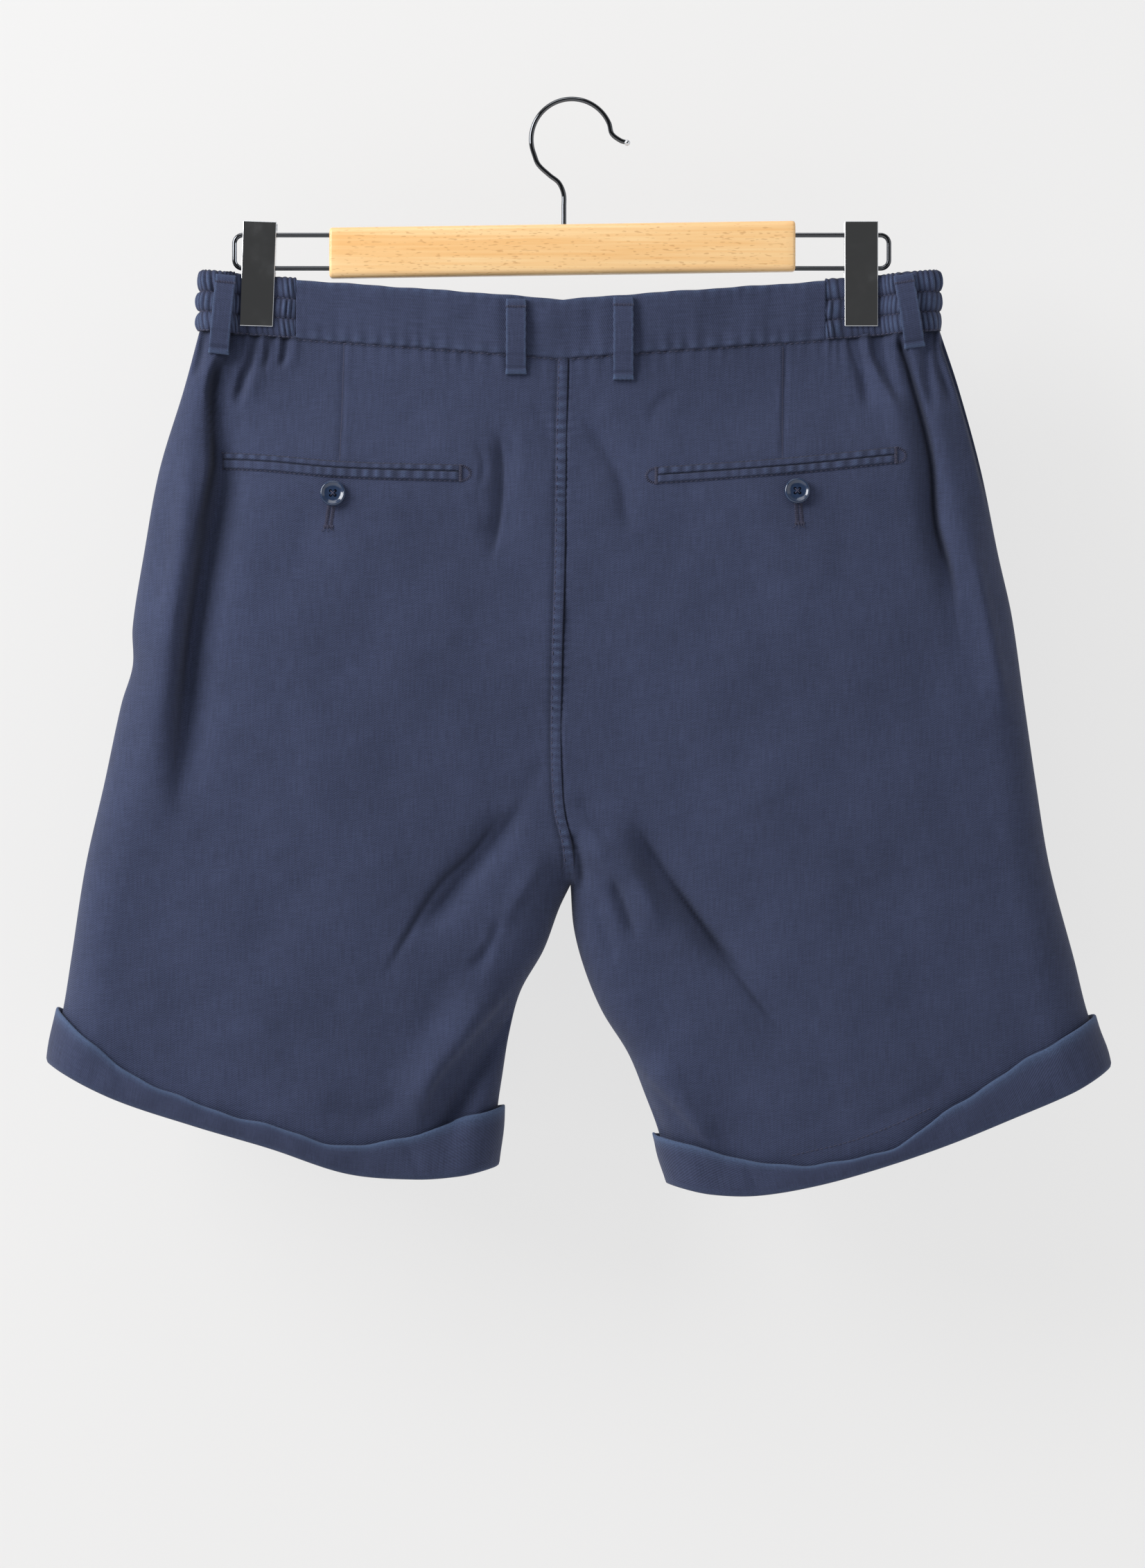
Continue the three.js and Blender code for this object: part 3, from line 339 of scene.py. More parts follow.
# Finer creases, placed from the photograph on the back and like them on the front
QUICK = (0.08, 0.35)
FINE = creases({
    Face.BACK: (
        # Gathers that spring from the left elastic end
        (((-197.6, -132), (-202, -151), (-207, -160), (-208.5, -176),
          (-206.5, -200)), -4.42, (2.2, 6), QUICK),
        (((-199, -142), (-205, -158), (-208, -182), (-211, -214), (-214, -245)), 2.6, (7, 2.4), (0.1, 0.3)),
        (((-184, -132), (-188, -152), (-193, -165), (-197, -182)), -3.74, (2.2, 5), QUICK),
        (((-181, -132), (-184, -152), (-188, -166), (-191, -184)), 2.72, (2.2, 6), QUICK),
        (((-167, -132), (-168.5, -148), (-171, -158)), -2.55, (1.6, 4), QUICK),
        (((-163, -132), (-164, -147), (-167, -160)), 1.7, (2, 5), QUICK),
        (((-175, -132), (-178, -149), (-181, -160)), -2.21, (2.5, 3), QUICK),
        (((-213, -132), (-217, -150), (-222, -166)), -3.06, (2.4, 4), QUICK),
        # Gathers that spring from the right elastic end
        (((161.6, -132), (168, -153.5), (171, -167.4), (173, -186)), -3.4, (3.5, 5), QUICK),
        (((169.6, -132), (173.5, -150), (180.4, -166), (186, -178), (191, -194)), 2.0, (4, 4), QUICK),
        (((177, -132), (179, -148.6), (184.6, -160.5), (189.5, -171), (194, -182)), -3.74, (3, 5), QUICK),
        (((189.5, -136), (194.4, -150), (199.3, -167.4), (203.5, -183), (207, -198), (209.5, -212),
          (212, -248), (219, -275), (223, -302), (226, -330)), -4.4, (7, 1.5), (0.05, 0.35)),
        (((193, -138), (198, -152), (203.2, -168), (207.6, -184), (211, -200), (214, -224)), 1.7, (2, 9),
          (0.1, 0.3)),
        (((205.5, -132), (206.9, -160.5), (209, -174.4), (210.4, -190)), -3.23, (3, 3), QUICK),
        (((210.4, -132), (213.2, -153.5), (218.8, -171), (221.6, -183)), -2.72, (2.6, 3), QUICK),
        (((189.5, -136), (194.4, -150), (199.3, -167.4), (203.5, -183), (207, -198), (209.5, -212),
          (212, -248), (219, -275), (223, -302)), -1.8, (1.5, 1.1), (0.05, 0.3)),
        (((-201.6, -140), (-208.5, -156.7), (-211.5, -169), (-210.2, -181.4), (-208.5, -198.7),
          (-208.5, -211), (-211.5, -228.4), (-216.4, -253), (-220, -278)), -1.8, (1.1, 1.5),
          (0.05, 0.3)),
        # Edge of the back over the front on the right, and its echo on the left
        (((214.6, -138), (218.8, -152), (224.4, -167.4), (228.5, -181.4), (232, -194), (239, -222),
          (244, -246)), -3.4, (0.9, 12), (0.06, 0.25)),
        (((213, -138), (217, -152), (222.5, -167.4), (226.5, -181.4), (230, -194), (237, -222),
          (242, -246)), 1.1, (3.5, 1.2), (0.06, 0.25)),
        # Long soft folds of the legs
        (((-204, -150), (-209, -168), (-209.5, -196), (-208, -214), (-213, -248), (-219, -284),
          (-225, -330), (-229, -380), (-231, -430)), -5.5, (2.4, 11), (0.05, 0.45)),
        (((-214, -150), (-219, -176), (-221, -204), (-224, -240), (-230, -290), (-236, -340)), 2.6, (8, 5)),
        (((231, -258), (240, -300), (254, -369)), 2.4, (5, 4)),
        (((-150, -232), (-156, -262), (-158, -290)), -0.7, (9, 9)),
        (((-58.7, -226), (-52, -240), (-50, -262)), -1.0, (5, 6)),
        (((-42.5, -190), (-41, -206), (-40.6, -230), (-43, -250), (-48, -276)), -2.6, (4.5, 1.6)),
        (((-58, -198), (-53.5, -206), (-51.6, -214), (-54, -229)), -1.2, (1.4, 3)),
        (((-31, -186), (-29, -210), (-33, -240)), 1.1, (5, 5)),
        (((5.3, -182), (16, -200), (27, -219), (31, -240), (32.4, -262)), -1.4, (3, 4.5)),
        (((-24, -176), (-14, -194), (-12, -216)), -1.0, (4, 3)),
        (((44, -196), (50, -178), (66, -168)), -0.9, (3, 5)),
        (((14, -176), (30, -192), (40, -206)), 0.9, (6, 5)),
        (((60, -176), (84, -190), (104, -196)), -0.8, (6, 7)),
        (((-96, -178), (-86, -194), (-80, -208)), -0.6, (6, 6)),
        (((70, -236), (60, -262), (56, -300)), -0.9, (10, 10)),
        (((150, -236), (156, -268), (154, -310)), -0.8, (12, 9)),
        (((-118, -300), (-122, -340), (-117, -380)), -0.8, (14, 12)),
        (((96, -330), (104, -372), (101, -410)), -0.8, (14, 12)),
        # Pulls that run from the crotch
        (((-24, -402), (-44, -432), (-69, -460), (-91, -490.5)), -3.0, (3, 7)),
        (((-41, -473), (-46, -490.5), (-60, -508)), -2.8, (3, 6)),
        (((-12, -440), (-30, -462), (-44, -492), (-50, -520)), 2.0, (6, 4)),
        (((31.6, -416), (46, -438), (60, -460), (85, -492), (110, -520)), -3.0, (7, 2.6)),
        (((22, -452), (30, -470), (37, -492)), -3.0, (4, 2.6)),
        (((10, -462), (18, -482), (26, -505)), -2.0, (3.5, 4.5)),
        (((2, -404), (12, -420), (24, -432)), -1.3, (3, 5)),
        (((-14, -378), (-22, -396), (-34, -410)), -0.9, (5, 6)),
        (((110, -450), (140, -478), (172, -500)), -0.9, (12, 12)),
        (((-150, -450), (-176, -486), (-196, -520)), -0.9, (12, 12)),
        (((-38, -412), (-58, -438), (-77.6, -457), (-98, -490), (-112, -516)), -1.7, (1.5, 4)),
        (((52, -446), (64, -464), (91, -504), (112, -532), (126, -550)), -1.7, (4, 1.5)),
        (((-2, -424), (3, -438), (5, -452), (2, -464)), -2.4, (1.8, 4)),
        # Rolls at the inner side of both legs
        (((-31.6, -512), (-46, -530), (-64, -551), (-81, -573), (-91, -601)), 4.2, (9, 2.2)),
        (((-24, -520), (-50, -556), (-68, -586), (-78, -612)), -3.6, (4, 10)),
        (((34.8, -556), (46, -570), (60, -584), (77, -604), (90, -620)), 3.0, (2.4, 9)),
        (((28, -556), (38, -574), (50, -596), (60, -618)), -3.2, (6, 3.5)),
        (((-62, -500), (-80, -530), (-96, -566)), -0.9, (8, 8)),
        (((92, -556), (104, -588), (118, -612)), -1.2, (8, 9)),
        # Press lines and slack above the turn-ups
        (((-270, -548), (-236, -568), (-200, -582)), -0.9, (4, 4)),
        (((-250, -530), (-216, -552), (-178, -566)), -0.6, (5, 5)),
        (((-150, -586), (-120, -590), (-96, -580)), -1.1, (6, 6)),
        (((225, -566), (196, -584), (160, -600)), -0.8, (5, 5)),
        (((-150, -244), (-110, -247), (-74, -243)), -0.35, (1.6, 1.6)),
        (((70, -252), (110, -249), (160, -243)), -0.3, (1.6, 1.6)),
        (((-235, -402), (-262, -400), (-272, -396)), -0.5, (2.5, 2.5)),
        (((236, -452), (258, -449), (272, -444)), -0.5, (2.5, 2.5)),
        # Darts from the band to the pockets
        (((-132.8, -138), (-133.7, -176), (-134.5, -213)), -0.6, (2.0, 1.6), (0.02, 0.05)),
        (((-130.4, -138), (-131.2, -176), (-132, -213)), 0.3, (1.4, 3), (0.05, 0.1)),
        (((125, -139), (123.5, -176), (122, -211)), -0.6, (1.6, 2.0), (0.02, 0.05)),
        (((122.6, -139), (121.2, -176), (119.8, -211)), 0.3, (3, 1.4), (0.05, 0.1)),
    ),
    Face.FRONT: (
        (((-197, -132), (-203, -156), (-209, -176), (-212, -200)), -4.08, (2.4, 6), QUICK),
        (((-186, -132), (-190, -154), (-196, -172)), -3.4, (2.4, 5), QUICK),
        (((-176, -132), (-179, -152), (-184, -166)), 2.55, (4, 4), QUICK),
        (((-168, -132), (-169, -150), (-172, -160)), -2.38, (2, 4), QUICK),
        (((-208, -132), (-213, -152), (-219, -170)), 2.89, (3, 3), QUICK),
        (((158, -132), (163, -152), (168, -170)), -3.06, (4, 3), QUICK),
        (((172, -132), (178, -154), (186, -172)), 3.06, (4, 4), QUICK),
        (((186, -132), (193, -156), (201, -178)), -3.91, (5, 2.2), QUICK),
        (((200, -132), (207, -156), (214, -176)), -3.06, (4, 2.6), QUICK),
        (((-40, -330), (-30, -362), (-26, -392)), -1.2, (8, 8)),
        (((28, -340), (18, -370), (12, -398)), -1.2, (8, 8)),
        (((-24, -420), (-52, -452), (-84, -480)), -2.0, (4, 7)),
        (((14, -418), (44, -452), (80, -486)), -2.0, (7, 4)),
        (((-130, -290), (-138, -350), (-134, -410)), -0.9, (14, 12)),
        (((134, -290), (140, -350), (136, -410)), -0.9, (12, 14)),
        (((-34, -508), (-60, -545), (-84, -590)), 2.2, (8, 4)),
        (((30, -545), (56, -582), (78, -612)), 2.4, (4, 9)),
        (((-236, -556), (-200, -574), (-160, -584)), -0.9, (5, 5)),
        (((236, -560), (200, -580), (160, -594)), -0.9, (5, 5)),
    ),
})

DARTS = (
    ((-132.9, -142), (-133.7, -176), (-134.6, -211.5)),
    ((123.2, -144), (122.7, -176), (122.1, -209.5)),
)

# Painted shade along the sharpest creases and the darts' seams, in lines about as wide as the mesh is fine
PAINTED_CREASE_SHADE = {
    face: tuple(replace(fold, height=0.6, flanks=(1.7, 1.7)) for fold in FINE[face]
                if fold.height < -1.6 and min(fold.flanks) < 3)
    for face in Face
}
# The darts' seams get a painted shade line too
PAINTED_CREASE_SHADE[Face.BACK] += tuple(Crease(route, 0.35, (1.2, 1.2), (0.02, 0.05)) for route in DARTS)


def seam_x(z: Array) -> Array:
    """Place of the centre seam at a height."""
    x, at = along(CENTRE_SEAM, np.linspace(0, 1, 60))
    return np.interp(-np.asarray(z, float), -at, x)


def band_plan(x: Array) -> tuple[Array, Array]:
    """Half depth of the waist ring and height of its seam at x.

    Args:
        x: places across the waist.

    Returns:
        How far each face stands from the middle plane, and the z of the band's lower edge.
    """
    x = np.asarray(x, float)
    left = x < CENTRE_X
    sign = np.where(left, LEFT.sign, RIGHT.sign)
    clip = np.where(left, LEFT.clip_x, RIGHT.clip_x)
    tip = np.where(left, LEFT.side[0][0], RIGHT.side[0][0])
    tip_z = np.where(left, LEFT.side[0][1], RIGHT.side[0][1])
    out = (x - clip) * sign
    past = np.abs(out) - CLIP_HALF
    run = np.abs(clip - CENTRE_X) - CLIP_HALF
    outside = mix(BAND_CLIP, BAND_END, ease(past / BAND_END_RUN))
    inside = mix(BAND_CLIP, BAND_CENTRE, ease(past / run * BAND_OPENING))
    depth = np.where(past <= 0, BAND_CLIP, np.where(out > 0, outside, inside))
    seam = mix(CENTRE_Z, tip_z, (x - CENTRE_X) / (tip - CENTRE_X))
    return depth, seam


@dataclass(frozen=True)
class ClothForm:
    """The hanging form of one panel: a face of one leg's half of the shorts."""

    leg: Leg
    face: Face

    def outline(self, u: Array, v: Array) -> tuple[Array, Array, Array]:
        """Place in the hanging plane.

        Args:
            u: share across, from the centre seam or inseam to the side.
            v: share down, from the band's seam to the hem.

        Returns:
            x, z and the width of the half there.
        """
        seam_at = along(CENTRE_SEAM, v / CROTCH)
        inseam_at = along(self.leg.inseam, (v - CROTCH) / (1 - CROTCH))
        inner_x, inner_z = (np.where(v < CROTCH, a, b) for a, b in zip(seam_at, inseam_at))
        side_x, side_z = along(self.leg.side, v)
        hem = np.asarray(self.leg.hem, float)
        sag = spline(hem[:, 0], hem[:, 1], np.clip(u, 0, 1)) * v * v
        return mix(inner_x, side_x, u), mix(inner_z, side_z, u) - sag, np.abs(side_x - inner_x)

    def relief(self, x: Array, z: Array, drop: Array) -> Array:
        """Height of fine creases, puckers and the felled centre seam, in millimetres.

        Args:
            x: places across.
            z: heights.
            drop: how far below the band's seam.

        Returns:
            Millimetres outwards.
        """
        turn = self.leg.sign + 0.7 * self.face.value
        height = undulation(x, z, turn) * ease(drop / 70)
        for crease in FINE[self.face]:
            height += crease.lift(x, z)
        under_band = np.exp(-np.clip(drop, 0, None) / 8)
        height += 0.6 * puckers(x, 8.5, turn) * under_band
        shirred = ease((-x - 158) / 6) + ease((x - 145) / 6)
        height += 0.9 * puckers(x, 5.4, 2 * turn) * shirred * np.exp(-np.clip(drop, 0, None) / 13)
        return height + self.centre_seam(x, z)

    def centre_seam(self, x: Array, z: Array) -> Array:
        """Height of the felled seam: the left panel laps over the right one and both pucker.

        Args:
            x: places across.
            z: heights.

        Returns:
            Millimetres outwards.
        """
        d = x - seam_x(z)
        fade = ease((z - CROTCH_Z - 4) / 14)
        wave = puckers(z, 5.6, 0.4) * fade
        if self.leg is LEFT:
            strip = ease((d + 3.7) / 0.8)
            rows = bump(d + 2.5, 0.5) + bump(d - 2.0, 0.5)
            groove = -0.55 * bump(d + 4.1, 0.75)
            edge = -0.9 * ease((d - 2.3) / 0.8)
            raised = strip * (0.95 + 0.5 * wave) + groove - 0.34 * rows + edge
            near = 0.5 * wave * bump(d + 5.5, 3)
            return (raised + near) * fade
        tucked = -1.2 * (1 - ease((d - 2.6) / 1.8))
        return (tucked + 0.55 * wave * bump(d - 5.5, 3)) * fade

    def point(self, u: Array, v: Array, detail: bool = True) -> Array:
        """Outside of the cloth.

        Args:
            u: share across.
            v: share down.
            detail: whether the fine relief is added to the main form.

        Returns:
            Points, the last axis being x, y and z.
        """
        u, v = np.broadcast_arrays(np.asarray(u, float), np.asarray(v, float))
        x, z, width = self.outline(u, v)
        _, top, _ = self.outline(u, np.zeros_like(v))
        centre, middle, side = eased_row(DEPTH[self.face], v)
        inward = mix(centre, middle, ease(u * 2))
        full = np.where(u < 0.5, inward, mix(middle, side, ease(u * 2 - 1)))
        drop = top - z
        body = ease(drop / EDGE_DROP)
        radius = mix(EDGE_BAND, EDGE_BODY, body)
        side_cap = rounded((1 - u) * width, radius)
        above = np.where(v < CROTCH, along(CENTRE_SEAM, v / CROTCH)[1] - CROTCH_Z, 0)
        cap = side_cap * rounded(np.hypot(u * width, above), EDGE_BODY)
        folded = sum(fold.lift(x, z) for fold in FOLDS[self.face]) * body * ease(drop / FOLD_START)
        depth = mix(band_plan(x)[0], full, body) + folded
        y = np.maximum(depth, LEAST_DEPTH) * cap
        if detail:
            y = np.maximum(y + self.relief(x, z, drop) * ease(cap / 0.5), np.minimum(y, LEAST_DEPTH))
        return np.stack([x, self.face.value * y, z], axis=-1)

    def normal(self, u: Array, v: Array) -> Array:
        """Unit normals out of the main form.

        Args:
            u: share across.
            v: share down.

        Returns:
            One normal for each point.
        """
        step = 0.004
        du = self.point(np.minimum(u + step, 1), v, False) - self.point(np.maximum(u - step, 0), v, False)
        dv = self.point(u, np.minimum(v + step, 1), False) - self.point(u, np.maximum(v - step, 0), False)
        return facing_out(np.cross(du, dv), self.face)

    def locate(self, x: Array, z: Array) -> tuple[Array, Array]:
        """Shares u and v that lie at places of the hanging plane, by repeated straight steps.

        Args:
            x: places across.
            z: heights.

        Returns:
            u and v of each place.
        """
        u, v = np.full_like(x, 0.5), np.full_like(x, 0.4)
        step = 0.001
        for _ in range(18):
            px, pz, _ = self.outline(u, v)
            ux, uz, _ = self.outline(u + step, v)
            vx, vz, _ = self.outline(u, v + step)
            a, b, c, d = ((ux - px) / step, (vx - px) / step, (uz - pz) / step, (vz - pz) / step)
            turn = a * d - b * c
            u = np.clip(u + 0.9 * (d * (x - px) - b * (z - pz)) / turn, -0.1, 1)
            v = np.clip(v + 0.9 * (a * (z - pz) - c * (x - px)) / turn, 0, 1)
        return u, v


def facing_out(vectors: Array, face: Face) -> Array:
    """Unit vectors, turned so that they look out of a face."""
    turned = unit(vectors)
    return np.where(turned[..., 1:2] * face.value < 0, -turned, turned)


FORMS = {(face, leg.name): ClothForm(leg, face) for face in Face for leg in (LEFT, RIGHT)}


def surface(face: Face, x: Array, z: Array, detail: bool = True) -> tuple[Array, Array]:
    """Cloth outside at places of the hanging plane, on the band above its seam and on a panel below.

    Args:
        face: back or front.
        x: places across.
        z: heights.
        detail: whether the panel's fine relief counts.

    Returns:
        Points and unit normals.
    """
    x, z = (np.array(a, float) for a in np.broadcast_arrays(x, z))
    depth, seam = band_plan(x)
    points = np.stack([x, face.value * (depth + BAND_PROUD), z], axis=-1)
    normals = np.zeros_like(points)
    normals[..., 1] = face.value
    for leg, mine in ((LEFT, x < seam_x(z)), (RIGHT, x >= seam_x(z))):
        on = mine & (z <= seam)
        if on.any():
            form = FORMS[face, leg.name]
            u, v = form.locate(x[on], z[on])
            points[on] = form.point(u, v, detail)
            normals[on] = form.normal(u, v)
    return points, normals


def grid_normals(points: Array, outward: Array) -> Array:
    """Unit normals of a grid of points.

    Args:
        points: rows and columns of points.
        outward: a vector that tells which side is out, for the grid as a whole.

    Returns:
        One normal for each point.
    """
    normals = unit(np.cross(np.gradient(points, axis=1), np.gradient(points, axis=0)))
    return -normals if float((normals * outward).sum()) < 0 else normals


def link(data: bpy.types.ID, name: str) -> bpy.types.Object:
    """A new object for a mesh, lamp or camera, in the scene.

    Args:
        data: what the object shows.
        name: its name.

    Returns:
        The new object.
    """
    made = bpy.data.objects.new(name, data)
    bpy.context.scene.collection.objects.link(made)
    return made


def worked_object(name: str, work: bmesh.types.BMesh) -> bpy.types.Object:
    """A new object from worked faces, which are freed.

    Args:
        name: name of the piece.
        work: the faces.

    Returns:
        The new object.
    """
    mesh = bpy.data.meshes.new(name)
    work.to_mesh(mesh)
    work.free()
    return link(mesh, name)


def mesh_object(name: str, points: Array, faces: Array, uv: Array | None = None,
                uv_faces: Array | None = None, wear: Array | None = None) -> bpy.types.Object:
    """Object with one smooth mesh whose faces point out.

    Args:
        name: name of the piece.
        points: vertices in millimetres.
        faces: corner numbers of each quad.
        uv: places on the cloth in metres, by corner number.
        uv_faces: corner numbers into uv, where they differ from faces.
        wear: for each vertex, from -1, darker (dye caught in the seams and painted shade in creases and
            ditches), to 1, paler (fading by rubbing and painted highlights on crests).

    Returns:
        The new object.
    """
    corners = points[faces]
    cross = np.cross(corners[:, 1] - corners[:, 0], corners[:, 2] - corners[:, 0])
    cross += np.cross(corners[:, 2] - corners[:, 0], corners[:, 3] - corners[:, 0])
    centre = corners.mean(axis=1) - points.mean(axis=0)
    order = [3, 2, 1, 0] if float((cross * centre).sum()) < 0 else [0, 1, 2, 3]
    faces = faces[:, order]
    mesh = bpy.data.meshes.new(name)
    mesh.from_pydata((points * MM).tolist(), [], faces.tolist())
    if uv is not None:
        where = (faces if uv_faces is None else uv_faces[:, order]).ravel()
        mesh.uv_layers.new(name="cloth").data.foreach_set("uv", uv[where].ravel())
    # One value per vertex: fading by rubbing and dye, and painted light: painted highlights on crests and
    # painted shade in creases and ditches
    worn = mesh.attributes.new("wear", "FLOAT", "POINT")
    worn.data.foreach_set("value", np.zeros(len(points)) if wear is None else wear)
    mesh.shade_smooth()
    mesh.validate()
    return link(mesh, name)


def quads(rows: int, columns: int) -> Array:
    """Corner numbers of a grid's quads."""
    start = (np.arange(rows - 1)[:, None] * columns + np.arange(columns - 1)).reshape(-1, 1)
    return start + np.array([0, 1, columns + 1, columns])


def shell(name: str, outer: Array, inner: Array, uv: Array, wear: Array | None = None) -> bpy.types.Object:
    """Closed thin wall between two grids of points.

    Args:
        name: name of the piece.
        outer: rows and columns of the outside.
        inner: the same grid inside.
        uv: place of each grid point on the cloth, in metres.
        wear: wear of each grid point.

    Returns:
        The new object.
    """
    rows, columns = outer.shape[:2]
    count = rows * columns
    at = np.arange(count).reshape(rows, columns)
    rims = [np.stack([line[:-1], line[1:], line[1:] + count, line[:-1] + count], axis=-1)
            for line in (at[0], at[-1], at[:, 0], at[:, -1])]
    front = quads(rows, columns)
    turned = [front, front[:, ::-1] + count, rims[0][:, ::-1], rims[1], rims[2], rims[3][:, ::-1]]
    points = np.concatenate([outer.reshape(-1, 3), inner.reshape(-1, 3)])
    worn = None if wear is None else np.concatenate([wear.ravel(), wear.ravel()])
    return mesh_object(name, points, np.concatenate(turned), np.tile(uv.reshape(-1, 2), (2, 1)), wear=worn)


def ring(name: str, sections: Array, uv: Array, closed: bool,
         wear: Array | None = None) -> bpy.types.Object:
    """Solid swept through closed sections.

    Args:
        name: name of the piece.
        sections: stations, points round each section, coordinates.
        uv: the same stations with one point more round, in metres.
        closed: whether the last station joins the first; otherwise both ends are capped.
        wear: wear of each point.

    Returns:
        The new object.
    """
    stations, around = sections.shape[:2]
    loop = np.arange(stations + 1) % stations if closed else np.arange(stations)
    span = len(loop) - 1
    c = np.arange(around)
    faces, uv_faces = [], []
    for s in range(span):
        a, b = loop[s] * around, loop[s + 1] * around
        beside = (c + 1) % around
        faces.append(np.stack([a + c, a + beside, b + beside, b + c], axis=-1))
        ua, ub = s * (around + 1), (s + 1) * (around + 1)
        uv_faces.append(np.stack([ua + c, ua + c + 1, ub + c + 1, ub + c], axis=-1))
    points = sections.reshape(-1, 3)
    if not closed:
        half = around // 2
        k = np.arange(half - 1)
        for s, flip in ((0, True), (stations - 1, False)):
            base, ubase = s * around, s * (around + 1)
            cap = np.stack([k, k + 1, around - 2 - k, around - 1 - k], axis=-1)
            cap = cap[:, ::-1] if flip else cap
            faces.append(base + cap)
            uv_faces.append(ubase + cap)
    faces, uv_faces = np.concatenate(faces), np.concatenate(uv_faces)
    return mesh_object(name, points, faces, uv.reshape(-1, 2), uv_faces, wear)


def feed(tree: bpy.types.NodeTree, node: bpy.types.Node, inputs: dict) -> bpy.types.Node:
    """Sets or links a node's inputs.

    Args:
        tree: tree that holds the node.
        node: node that is fed.
        inputs: values, sockets or other nodes, by the input's name or number; a node stands for its
            first live output.

    Returns:
        The same node.
    """
    for socket, value in inputs.items():
        if isinstance(value, bpy.types.Node):
            value = next(output for output in value.outputs if output.enabled)
        if isinstance(value, bpy.types.NodeSocket):
            tree.links.new(value, node.inputs[socket])
        else:
            node.inputs[socket].default_value = value
    return node


def add_node(tree: bpy.types.NodeTree, kind: str, inputs: dict | None = None,
             **settings: object) -> bpy.types.Node:
    """Adds a node with its settings and links.

    Args:
        tree: tree that gets the node.
        kind: Blender's name of the node.
        inputs: as for feed.
        settings: properties by name.

    Returns:
        The new node.
    """
    node = tree.nodes.new(kind)
    for name, value in settings.items():
        setattr(node, name, value)
    return feed(tree, node, inputs or {})


def linear(colour: str) -> tuple[float, float, float, float]:
    """Linear colour of an sRGB hex value."""
    channels = [int(colour[i:i + 2], 16) / 255 for i in (1, 3, 5)]
    return (*[c / 12.92 if c <= 0.04045 else ((c + 0.055) / 1.055) ** 2.4 for c in channels], 1.0)


def new_material(name: str) -> tuple[bpy.types.Material, Callable, Callable]:
    """A material with nodes, what adds a node to it and what feeds its principled shader.

    Args:
        name: name of the finish.

    Returns:
        The material and both functions.
    """
    material = bpy.data.materials.new(name)
    material.use_nodes = True
    tree = material.node_tree
    return material, partial(add_node, tree), partial(feed, tree, tree.nodes["Principled BSDF"])


